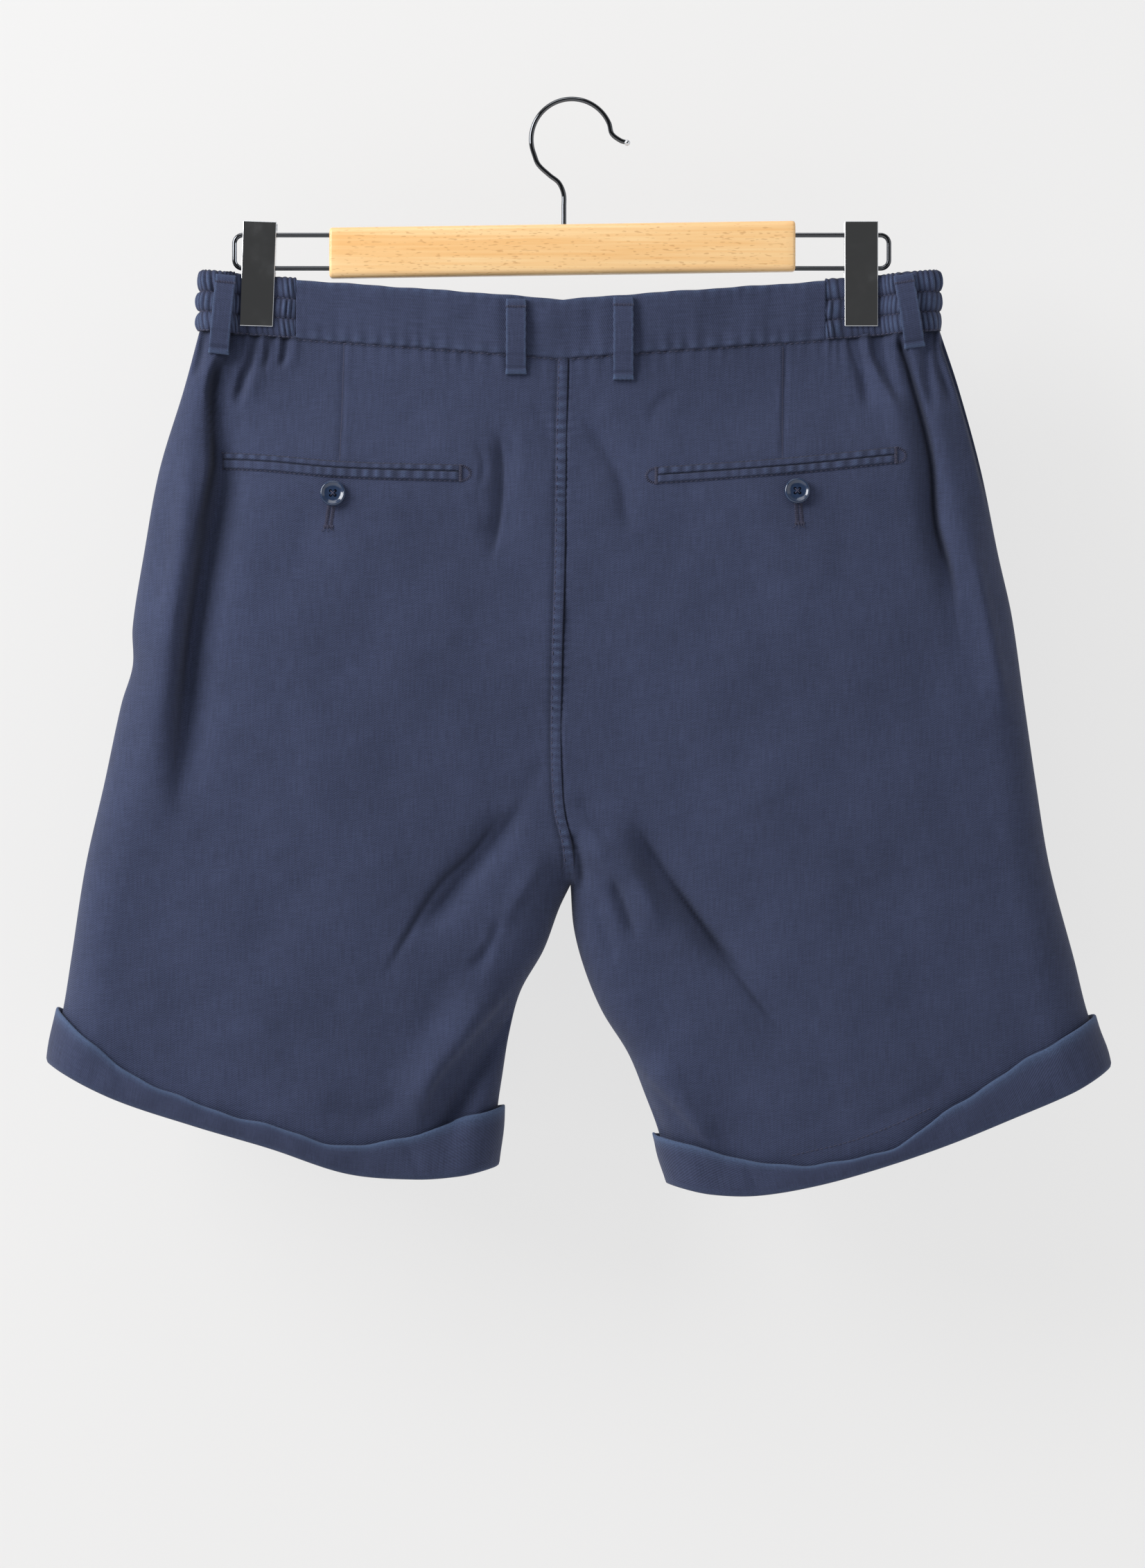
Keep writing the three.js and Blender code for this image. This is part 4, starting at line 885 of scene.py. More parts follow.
@dataclass(frozen=True)
class CottonTwill:
    """Garment-dyed cotton twill: woven in fine diagonal ribs and dyed after sewing.

    The eye gets a matt navy with slanting ribs, slightly streaked yarns and cloudy dye. A tone per vertex
    makes it paler blue where edges fade by rubbing and in painted highlights on crests, and darker navy
    with dye caught in the seams and painted shade in creases and ditches.
    """

    name: str = "cotton_twill_garment_dyed"
    dye: str = "#383f59"
    # The deep colour is dye caught in the seams and painted shade; the pale one below is edges faded by
    # rubbing and painted highlights
    deep: str = "#1d2233"
    pale_wear_and_highlight: str = "#5a7093"
    rib_mm: float = 1.05
    rib_turn: float = math.radians(62)
    yarn_mm: float = 0.9
    warp_slub_mm: float = 14.0
    weft_slub_mm: float = 11.0
    cloud_mm: float = 46.0

    def build(self) -> bpy.types.Material:
        """The cloth's material; it follows the cloth's own UV map, which is in metres.

        Returns:
            The finished material.
        """
        material, add, finish = new_material(self.name)
        uv = add("ShaderNodeUVMap", uv_map="cloth")
        worn = add("ShaderNodeAttribute", attribute_name="wear").outputs["Fac"]
        wobble = add("ShaderNodeTexNoise", {"Vector": uv, "Scale": 220.0, "Detail": 1.0})
        # The real ribs are about 0.6 mm apart; they are drawn coarser so that the render shows them
        turned = add("ShaderNodeMapping", {"Vector": uv, "Rotation": (0, 0, self.rib_turn)})
        across = add("ShaderNodeSeparateXYZ", {0: turned})
        phase = add("ShaderNodeMath", {0: across, 1: 2 * math.pi / (self.rib_mm * MM), 2: 0.0},
                    operation="MULTIPLY_ADD")
        shaken = add("ShaderNodeMath", {0: wobble, 1: 3.2, 2: phase}, operation="MULTIPLY_ADD")
        rib = add("ShaderNodeMath", {0: shaken}, operation="SINE")
        yarn, weft = (
            add("ShaderNodeTexNoise", {"Scale": 1.0, "Detail": 2.0, "Vector": add(
                "ShaderNodeMapping", {"Vector": uv, "Scale": (1 / (wide * MM), 1 / (tall * MM), 1)})})
            for wide, tall in ((self.yarn_mm, self.warp_slub_mm), (self.weft_slub_mm, self.yarn_mm)))
        cloud = add("ShaderNodeTexNoise",
                    {"Vector": uv, "Scale": 1 / (self.cloud_mm * MM), "Detail": 4.0, "Roughness": 0.6})
        fleck = add("ShaderNodeTexNoise", {"Vector": uv, "Scale": 900.0, "Detail": 2.0})
        warp = add("ShaderNodeMath", {0: yarn, 1: 1.5, 2: -0.25}, operation="MULTIPLY_ADD")
        threads = add("ShaderNodeMath", {0: warp, 1: weft}, operation="ADD")
        level = threads
        for part, weight in ((rib, 0.42), (cloud, 0.9), (fleck, 0.6)):
            level = add("ShaderNodeMath", {0: part, 1: weight, 2: level}, operation="MULTIPLY_ADD")
        shade = add("ShaderNodeMapRange",
                    {"Value": level, "From Min": 1.15, "From Max": 2.45, "To Min": 0.74, "To Max": 1.26})
        tinted = add("ShaderNodeMix", {0: 1.0, 6: linear(self.dye), 7: shade}, data_type="RGBA",
                     blend_type="MULTIPLY")
        patchy = add("ShaderNodeMath", {0: fleck, 1: 1.1, 2: -0.05}, operation="MULTIPLY_ADD",
                     use_clamp=True)
        # Paler where the tone is above 0, for faded edges and painted highlights; darker where it is below
        # 0, for dye in the seams and painted shade
        rub = add("ShaderNodeMath", {0: worn, 1: patchy}, operation="MULTIPLY", use_clamp=True)
        paler = add("ShaderNodeMix", {0: rub, 6: tinted, 7: linear(self.pale_wear_and_highlight)}, data_type="RGBA")
        deep_dye_and_shade = add("ShaderNodeMath", {0: worn, 1: -1.0}, operation="MULTIPLY", use_clamp=True)
        colour = add("ShaderNodeMix", {0: deep_dye_and_shade, 6: paler, 7: linear(self.deep)}, data_type="RGBA")
        height = add("ShaderNodeMath", {0: rib, 1: 0.5, 2: threads}, operation="MULTIPLY_ADD")
        relief = add("ShaderNodeBump", {"Strength": 0.55, "Distance": 0.00022, "Height": height})
        finish({"Base Color": colour, "Normal": relief, "Roughness": 0.92, "Specular IOR Level": 0.2,
                "Sheen Weight": 0.07, "Sheen Roughness": 0.55})
        return material


@dataclass(frozen=True)
class SewingThread:
    """Spun polyester sewing thread: two plies, dyed a shade darker and redder than the cloth.

    The eye gets small matt dashes that stand out as dark points along each seam.
    """

    name: str = "polyester_thread_spun"
    dye: str = "#2b2a40"
    light: str = "#3d3f5c"

    def build(self) -> bpy.types.Material:
        """The thread's material, mottled at the scale of its plies.

        Returns:
            The finished material.
        """
        material, add, finish = new_material(self.name)
        where = add("ShaderNodeTexCoord").outputs["Object"]
        ply = add("ShaderNodeTexNoise", {"Vector": where, "Scale": 1400.0, "Detail": 2.0})
        colour = add("ShaderNodeMix", {0: ply, 6: linear(self.dye), 7: linear(self.light)},
                     data_type="RGBA")
        relief = add("ShaderNodeBump", {"Strength": 0.5, "Distance": 0.0001, "Height": ply})
        finish({"Base Color": colour, "Normal": relief, "Roughness": 0.7, "Sheen Weight": 0.15})
        return material


@dataclass(frozen=True)
class PolyesterButton:
    """Cast polyester button, tumbled to a gloss: deep navy, faint pearly clouds, sharp highlights."""

    name: str = "polyester_resin_tumbled"
    dye: str = "#1d2a42"
    cloudy: str = "#2c3d5a"

    def build(self) -> bpy.types.Material:
        """The button's material.

        Returns:
            The finished material.
        """
        material, add, finish = new_material(self.name)
        where = add("ShaderNodeTexCoord").outputs["Object"]
        cloud = add("ShaderNodeTexNoise", {"Vector": where, "Scale": 260.0, "Detail": 3.0})
        colour = add("ShaderNodeMix", {0: cloud, 6: linear(self.dye), 7: linear(self.cloudy)},
                     data_type="RGBA")
        scuff = add("ShaderNodeTexNoise", {"Vector": where, "Scale": 2200.0, "Detail": 2.0})
        rough = add("ShaderNodeMapRange", {"Value": scuff, "To Min": 0.1, "To Max": 0.24})
        finish({"Base Color": colour, "Roughness": rough, "IOR": 1.56, "Coat Weight": 0.4,
                "Coat Roughness": 0.06})
        return material


@dataclass(frozen=True)
class LacqueredBeech:
    """Planed beech under clear lacquer: warm pale wood with fine streaks and short dark ray flecks."""

    name: str = "beech_lacquered"
    pale: str = "#fad6a0"
    warm: str = "#f2bd7c"
    fleck: str = "#b9793f"
    streak_mm: float = 2.6
    ray_mm: tuple[float, float, float] = (3.4, 0.8, 0.75)

    def build(self) -> bpy.types.Material:
        """The wood's material, its grain along the bar's length.

        Returns:
            The finished material.
        """
        material, add, finish = new_material(self.name)
        where = add("ShaderNodeTexCoord").outputs["Object"]
        streak = 1 / (self.streak_mm * MM)
        ray_scale = tuple(1 / (size * MM) for size in self.ray_mm)
        grain, wide, ray = (
            add("ShaderNodeTexNoise", {"Scale": 1.0, "Detail": detail, "Distortion": bent, "Vector": add(
                "ShaderNodeMapping", {"Vector": where, "Scale": scale})})
            for scale, detail, bent in (((9.0, streak, streak), 5.0, 0.6), ((3.0, 60.0, 95.0), 3.0, 1.2),
                                        (ray_scale, 0.0, 0.0)))
        flecked = add("ShaderNodeMapRange",
                      {"Value": ray, "From Min": 0.68, "From Max": 0.8, "To Max": 0.42})
        both = add("ShaderNodeMath", {0: wide, 1: 0.9, 2: grain}, operation="MULTIPLY_ADD")
        share = add("ShaderNodeMapRange", {"Value": both, "From Min": 0.7, "From Max": 1.2})
        wood = add("ShaderNodeMix", {0: share, 6: linear(self.pale), 7: linear(self.warm)},
                   data_type="RGBA")
        colour = add("ShaderNodeMix", {0: flecked, 6: wood, 7: linear(self.fleck)}, data_type="RGBA")
        relief = add("ShaderNodeBump", {"Strength": 0.25, "Distance": 0.0002, "Height": both})
        finish({"Base Color": colour, "Normal": relief, "Roughness": 0.42, "IOR": 1.5, "Coat Weight": 0.35,
                "Coat Roughness": 0.22})
        return material


@dataclass(frozen=True)
class ChromePlate:
    """Bright chrome plate on pressed steel and wire: a clear mirror with faint smears of handling."""

    name: str = "steel_chrome_plated"
    metal: str = "#dcdee2"

    def build(self) -> bpy.types.Material:
        """The metal's material.

        Returns:
            The finished material.
        """
        material, add, finish = new_material(self.name)
        where = add("ShaderNodeTexCoord").outputs["Object"]
        smear = add("ShaderNodeTexNoise", {"Vector": where, "Scale": 90.0, "Detail": 5.0})
        rough = add("ShaderNodeMapRange",
                    {"Value": smear, "From Min": 0.4, "From Max": 0.75, "To Min": 0.05, "To Max": 0.2})
        wave = add("ShaderNodeTexNoise", {"Vector": where, "Scale": 45.0, "Detail": 1.0})
        relief = add("ShaderNodeBump", {"Strength": 0.12, "Distance": 0.0008, "Height": wave})
        finish({"Base Color": linear(self.metal), "Metallic": 1.0, "Roughness": rough, "Normal": relief})
        return material


@dataclass(frozen=True)
class WallPaint:
    """Matt white backdrop film, lit a little from behind: pale and even, with faint shadows.

    It is clear from behind, so that the far side of the shorts can be seen too.
    """

    name: str = "backdrop_film_matt"
    tint: str = "#6f6e6d"
    glow: str = "#ffffff"
    glow_strength: float = 0.7

    def build(self) -> bpy.types.Material:
        """The backdrop's material: paint on the front of the sheet and nothing on its back.

        Returns:
            The finished material.
        """
        material, add, finish = new_material(self.name)
        shader = finish({"Base Color": linear(self.tint), "Roughness": 0.9, "Specular IOR Level": 0.2,
                         "Emission Color": linear(self.glow), "Emission Strength": self.glow_strength})
        behind = add("ShaderNodeNewGeometry").outputs["Backfacing"]
        either = add("ShaderNodeMixShader", {0: behind, 1: shader, 2: add("ShaderNodeBsdfTransparent")})
        tree = material.node_tree
        feed(tree, tree.nodes["Material Output"], {"Surface": either})
        return material


class Finishes:
    """All materials of the scene, built once."""

    def __init__(self) -> None:
        self.twill = CottonTwill().build()
        self.thread = SewingThread().build()
        self.button = PolyesterButton().build()
        self.beech = LacqueredBeech().build()
        self.chrome = ChromePlate().build()
        # The wire's chrome gets a darker colour, painted shade that stands in for the unlit room it mirrors
        # from all round, so it reads much darker than the plates' rims
        self.wire = ChromePlate("steel_wire_plated", "#5f6165").build()
        self.wall = WallPaint().build()


def dress(piece: bpy.types.Object, material: bpy.types.Material, slot: str, *nodes: str) -> None:
    """Gives a piece its material and body, and hides the solids that it stands for.

    Args:
        piece: the finished mesh.
        material: its finish.
        slot: not used.
        nodes: solids that it replaces.
    """
    piece.data.materials.clear()
    piece.data.materials.append(material)
    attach(piece, BODY)
    if nodes:
        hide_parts(*nodes)
    LOG.info("%s: %d faces", piece.name, len(piece.data.polygons))


class RouteTree:
    """Geometry nodes that draw something along routes; each kind of tree wires what is drawn."""

    NAME = ""
    INPUTS: tuple[tuple[str, str, float], ...] = ()

    def __init__(self) -> None:
        self.tree = bpy.data.node_groups.new(self.NAME, "GeometryNodeTree")
        sockets = self.tree.interface
        sockets.new_socket("Routes", in_out="INPUT", socket_type="NodeSocketGeometry")
        self.identifiers: dict[str, str] = {}
        for name, kind, value in (*self.INPUTS, ("Finish", "Material", None)):
            socket = sockets.new_socket(name, in_out="INPUT", socket_type=f"NodeSocket{kind}")
            self.identifiers[name] = socket.identifier
            if value is not None:
                socket.default_value = value
        sockets.new_socket("Drawn", in_out="OUTPUT", socket_type="NodeSocketGeometry")
        add = partial(add_node, self.tree)
        given = add("NodeGroupInput").outputs
        curve = add("GeometryNodeMeshToCurve", {0: given["Routes"]})
        real = add("GeometryNodeRealizeInstances", {0: self.wire(add, given, curve)})
        smooth = add("GeometryNodeSetShadeSmooth", {0: real})
        dyed = add("GeometryNodeSetMaterial", {"Geometry": smooth, "Material": given["Finish"]})
        add("NodeGroupOutput", {0: dyed})

    def wire(self, add: Callable, given: bpy.types.NodeOutputs, curve: bpy.types.Node) -> bpy.types.Node:
        """What is drawn along the curve."""
        raise NotImplementedError(self.NAME)

    def draw(self, name: str, routes: list[Array], values: dict, outward: list[Array] | None = None,
             ) -> bpy.types.Object:
        """What the tree draws along routes, as one plain mesh.

        Args:
            name: name of the piece.
            routes: points of each route, in millimetres.
            values: the tree's inputs by name.
            outward: the way out of the cloth at each point.

        Returns:
            The new object.
        """
        edges, start = [], 0
        for line in routes:
            k = np.arange(len(line) - 1) + start
            edges.append(np.stack([k, k + 1], axis=-1))
            start += len(line)
        mesh = bpy.data.meshes.new(name + "_routes")
        mesh.from_pydata((np.concatenate(routes) * MM).tolist(), np.concatenate(edges).tolist(), [])
        if outward:
            out = mesh.attributes.new("out", "FLOAT_VECTOR", "POINT")
            out.data.foreach_set("vector", np.concatenate(outward).ravel())
        source = link(mesh, name + "_routes")
        modifier = source.modifiers.new("drawn", "NODES")
        modifier.node_group = self.tree
        for key, value in values.items():
            modifier[self.identifiers[key]] = value
        drawn = evaluated(source, modifier)
        drawn.name = name
        bpy.data.objects.remove(source)
        bpy.data.meshes.remove(mesh)
        return link(drawn, name)


class StitchTree(RouteTree):
    """Sews an arched stitch on each spaced point; each route point carries the way out of the cloth."""

    NAME = "stitch_rows"
    INPUTS = (("Pitch", "Float", 0.003), ("Length", "Float", 0.0023), ("Thread", "Float", 0.00032),
              ("Arch", "Float", 0.0003), ("Turn", "Float", 0.0), ("Seed", "Int", 1))

    def wire(self, add: Callable, given: bpy.types.NodeOutputs, curve: bpy.types.Node) -> bpy.types.Node:
        """Routes to spaced points, with one stitch standing on each, turned a little at random.

        Args:
            add: adds a node to the tree.
            given: the tree's inputs.
            curve: the routes as curves.

        Returns:
            The node whose instances are made real.
        """
        spaced = add("GeometryNodeResampleCurve", {"Curve": curve, "Length": given["Pitch"]}, mode="LENGTH")
        half, minus, tall, dip = (
            add("ShaderNodeMath", {0: given[size], 1: factor}, operation="MULTIPLY")
            for size, factor in (("Length", 0.5), ("Length", -0.5), ("Arch", 2.0), ("Arch", -1.0)))
        start, middle, end = (add("ShaderNodeCombineXYZ", place)
                              for place in ({"X": minus, "Z": dip}, {"Z": tall}, {"X": half, "Z": dip}))
        arch = add("GeometryNodeCurveQuadraticBezier",
                   {"Resolution": 4, "Start": start, "Middle": middle, "End": end})
        round_end = add("GeometryNodeCurvePrimitiveCircle", {"Resolution": 5, "Radius": given["Thread"]})
        stitch = add("GeometryNodeCurveToMesh",
                     {"Curve": arch, "Profile Curve": round_end, "Fill Caps": True})
        out = add("GeometryNodeInputNamedAttribute", {"Name": "out"}, data_type="FLOAT_VECTOR")
        tangent = add("GeometryNodeInputTangent")
        first = add("FunctionNodeAlignRotationToVector", {"Vector": tangent}, axis="X")
        second = add("FunctionNodeAlignRotationToVector", {"Rotation": first, "Vector": out}, axis="Z",
                     pivot_axis="X")
        uneven = add("FunctionNodeRandomValue", {2: -0.12, 3: 0.12, "Seed": given["Seed"]},
                     data_type="FLOAT")
        turn = add("ShaderNodeMath", {0: given["Turn"], 1: uneven}, operation="ADD")
        spin = add("FunctionNodeAxisAngleToRotation", {"Axis": (0, 0, 1), "Angle": turn})
        turned = add("FunctionNodeRotateRotation", {"Rotation": second, "Rotate By": spin},
                     rotation_space="LOCAL")
        return add("GeometryNodeInstanceOnPoints",
                   {"Points": spaced, "Instance": stitch, "Rotation": turned})


class WireTree(RouteTree):
    """Draws a round wire or thread with filled ends."""

    NAME = "round_wire"
    INPUTS = (("Radius", "Float", 0.0014), ("Sides", "Int", 16))

    def wire(self, add: Callable, given: bpy.types.NodeOutputs, curve: bpy.types.Node) -> bpy.types.Node:
        """A circle swept along each route.

        Args:
            add: adds a node to the tree.
            given: the tree's inputs.
            curve: the routes as curves.

        Returns:
            The node that holds the wires.
        """
        circle = add("GeometryNodeCurvePrimitiveCircle",
                     {"Resolution": given["Sides"], "Radius": given["Radius"]})
        return add("GeometryNodeCurveToMesh",
                   {"Curve": curve, "Profile Curve": circle, "Fill Caps": True})


def evaluated(piece: bpy.types.Object, modifier: bpy.types.Modifier) -> bpy.types.Mesh:
    """A piece's mesh with its modifier worked in; the modifier is removed.

    Args:
        piece: object that carries the modifier.
        modifier: the modifier, with its inputs set.

    Returns:
        The plain mesh.
    """
    depsgraph = bpy.context.evaluated_depsgraph_get()
    mesh = bpy.data.meshes.new_from_object(piece.evaluated_get(depsgraph))
    piece.modifiers.remove(modifier)
    return mesh


@dataclass(frozen=True)
class Gauge:
    """How a row is sewn: pitch, length and thread radius of its stitches in millimetres, and their turn."""

    pitch: float
    length: float
    thread: float
    turn: float = 0.0


ACROSS = math.pi / 2
TOPSTITCH = Gauge(3.1, 2.1, 0.28)
HEM_ROW = Gauge(2.7, 1.9, 0.28)
SHIRRING = Gauge(2.7, 1.8, 0.28)
DITCH = Gauge(3.4, 1.9, 0.24)
WELT_ROW = Gauge(2.9, 1.9, 0.26)
LOOP_TACK = Gauge(0.9, 1.6, 0.26, ACROSS)
WELT_BAR = Gauge(0.7, 1.7, 0.3, ACROSS)
WELT_TACK = Gauge(1.1, 1.6, 0.26, math.pi / 2.4)
SATIN = Gauge(0.62, 2.1, 0.24, ACROSS)
HOLE_BAR = Gauge(0.7, 1.8, 0.26, ACROSS)


@dataclass
class Workshop:
    """What every sub-assembly is made with: the finishes and the two node trees."""

    finishes: Finishes
    stitches: StitchTree
    wires: WireTree

    def sew(self, name: str, rows: list[tuple[Array, Array]], gauge: Gauge) -> None:
        """Sews rows of stitches, each its points and the normals there, and dresses them in thread.

        Args:
            name: name of the piece.
            rows: points and normals of each row.
            gauge: how it is sewn.
        """
        routes, outward = zip(*rows)
        values = {"Pitch": gauge.pitch * MM, "Length": gauge.length * MM, "Thread": gauge.thread * MM,
                  "Turn": gauge.turn, "Finish": self.finishes.thread}
        dress(self.stitches.draw(name, list(routes), values, list(outward)), self.finishes.thread, "twill")

    def bend(self, name: str, routes: list[Array], radius: float, sides: int, *nodes: str) -> None:
        """Draws thread, or wire that stands for the solids named, along routes in millimetres.

        Args:
            name: name of the piece.
            routes: points of each route.
            radius: radius in millimetres.
            sides: faces round it.
            nodes: solids that it replaces.
        """
        finish, slot = (self.finishes.wire, "chrome") if nodes else (self.finishes.thread, "twill")
        piece = self.wires.draw(name, routes, {"Radius": radius * MM, "Sides": sides, "Finish": finish})
        dress(piece, finish, slot, *nodes)

    def clothe(self, piece: bpy.types.Object, node: str) -> None:
        """Dresses a piece in twill."""
        dress(piece, self.finishes.twill, "twill", node)


def row_on(face: Face, x: Array, z: Array, lift: float, detail: bool = True) -> tuple[Array, Array]:
    """Points at a height over the cloth, at places of the hanging plane, and the normals there."""
    points, normals = surface(face, x, z, detail)
    return points + normals * lift, normals


def sewn_line(face: Face, places: Route, lift: float = 0.1, step: float = 1.0) -> tuple[Array, Array]:
    """A row on the cloth through places of the hanging plane, sampled at a step."""
    return row_on(face, *along(places, np.linspace(0, 1, max(3, int(reaches(places)[-1] / step)))), lift)


@dataclass
class LegPanels:
    """The back and front panels of both legs."""

    shop: Workshop
    back_steps: tuple[float, float] = (1.3, 2.3)
    front_steps: tuple[float, float] = (2.2, 3.6)
    close_rows: float = 46.0
    drop: float = 492.0
    turn_degrees: float = 4.2
    lap: float = 3.0
    tuck: float = 1.6

    def shares(self, form: ClothForm) -> tuple[Array, Array]:
        """Grid of shares: close together where the edges turn and below the band, even between.

        Args:
            form: form of the panel.

        Returns:
            u and v of each grid point.
        """
        close, step = self.back_steps if form.face is Face.BACK else self.front_steps
        upper, lower = np.arange(0, self.close_rows, close), np.arange(self.close_rows, self.drop, step)
        v = np.unique(np.concatenate([upper, lower, [self.drop]])) / self.drop
        turned = EDGE_BODY * (1 - np.cos(np.radians(np.arange(0, 90, self.turn_degrees))))
        width = form.outline(np.full_like(v, 0.5), v)[2][:, None]
        coarse = np.linspace(0, 0.55, int(180 / step))
        middle = np.concatenate([coarse, np.linspace(0.55, 1, int(184 / step))[1:]])
        centre = mix(EDGE_BODY / width, 1 - EDGE_BODY / width, middle[None, :])
        u = np.concatenate([turned / width, centre, 1 - turned[::-1] / width], axis=1)
        if form.leg is LEFT:
            u = u - self.lap * ease((CROTCH - v) / 0.03)[:, None] / width * (1 - u)
        return u, np.broadcast_to(v[:, None], u.shape)

    def wear(self, form: ClothForm, points: Array) -> Array:
        """Faded and deep-dyed places of a panel, with painted light and shade on puckers, ditches and
        creases.

        Args:
            form: form of the panel.
            points: its outside.

        Returns:
            Tone of each point: fading by rubbing and dye, with painted light and shade.
        """
        x, z = points[..., 0], points[..., 2]
        d = x - seam_x(z)
        # Puckers of the felled strip: paler on their crests and darker in their dips, partly fading by
        # rubbing and partly painted light and shade
        worn = bump(d + 0.4, 2.8) * (0.1 + 0.55 * puckers(z, 5.6, 0.4))
        # Painted shade, partly dye caught in the seam, in the ditch beside the strip and under the lapped
        # edge
        if form.leg is LEFT:
            worn = worn - 0.8 * bump(d + 4.0, 0.8) - 0.7 * ease((d - 2.5) / 0.5)
        else:
            worn = worn - 0.6 * bump(d - 3.1, 0.8)
        # Painted shade, partly dye caught in the seam, along the seam under the band
        worn = worn * ease((z - CROTCH_Z) / 10) - 0.8 * bump(band_plan(x)[1] - z, 1.4)
        # Painted shade along the sharpest creases and the darts' seams
        return np.clip(worn - sum(shaded_crease.lift(x, z) for shaded_crease in PAINTED_CREASE_SHADE[form.face]), -1, 1)

    def build(self) -> None:
        for (face, side), form in FORMS.items():
            u, v = self.shares(form)
            outer, smooth = form.point(u, v), form.point(u, v, False)
            normals = grid_normals(smooth, np.array([0, face.value, 0]))
            inner = outer - normals * np.minimum(TWILL, 0.4 + np.abs(smooth[..., 1:2]) * 0.4)
            outer, inner = (np.concatenate([grid[:1] + np.array([0, way, self.tuck]), grid])
                            for grid, way in ((outer, -face.value * 0.9), (inner, 0)))
            panel = shell(f"panel_{face.name.lower()}_{side}", outer, inner, outer[..., ::2] * MM,
                          self.wear(form, outer))
            self.shop.clothe(panel, f"{face.name.lower()}_{side}")

    def sew(self) -> None:
        """Topstitching of the centre seams, the hem row on the right leg and the darts' seams."""
        z = np.arange(CENTRE_Z - 2, CROTCH_Z + 12, -1.0)
        for face in Face:
            rows = [row_on(face, seam_x(z) + across, z, lift)
                    for across, lift in ((-2.5, 0.0), (2.0, 0.25))]
            self.shop.sew(f"stitches_seat_{face.name.lower()}", rows, TOPSTITCH)
        hem = sewn_line(Face.BACK, ((128, -613.5), (160, -605.5), (185, -596), (206, -586.5)), 0.05)
        self.shop.sew("stitches_hem_right", [hem], HEM_ROW)
        self.shop.bend("dart_seams", [sewn_line(Face.BACK, route, -0.12)[0] for route in DARTS], 0.26, 6)


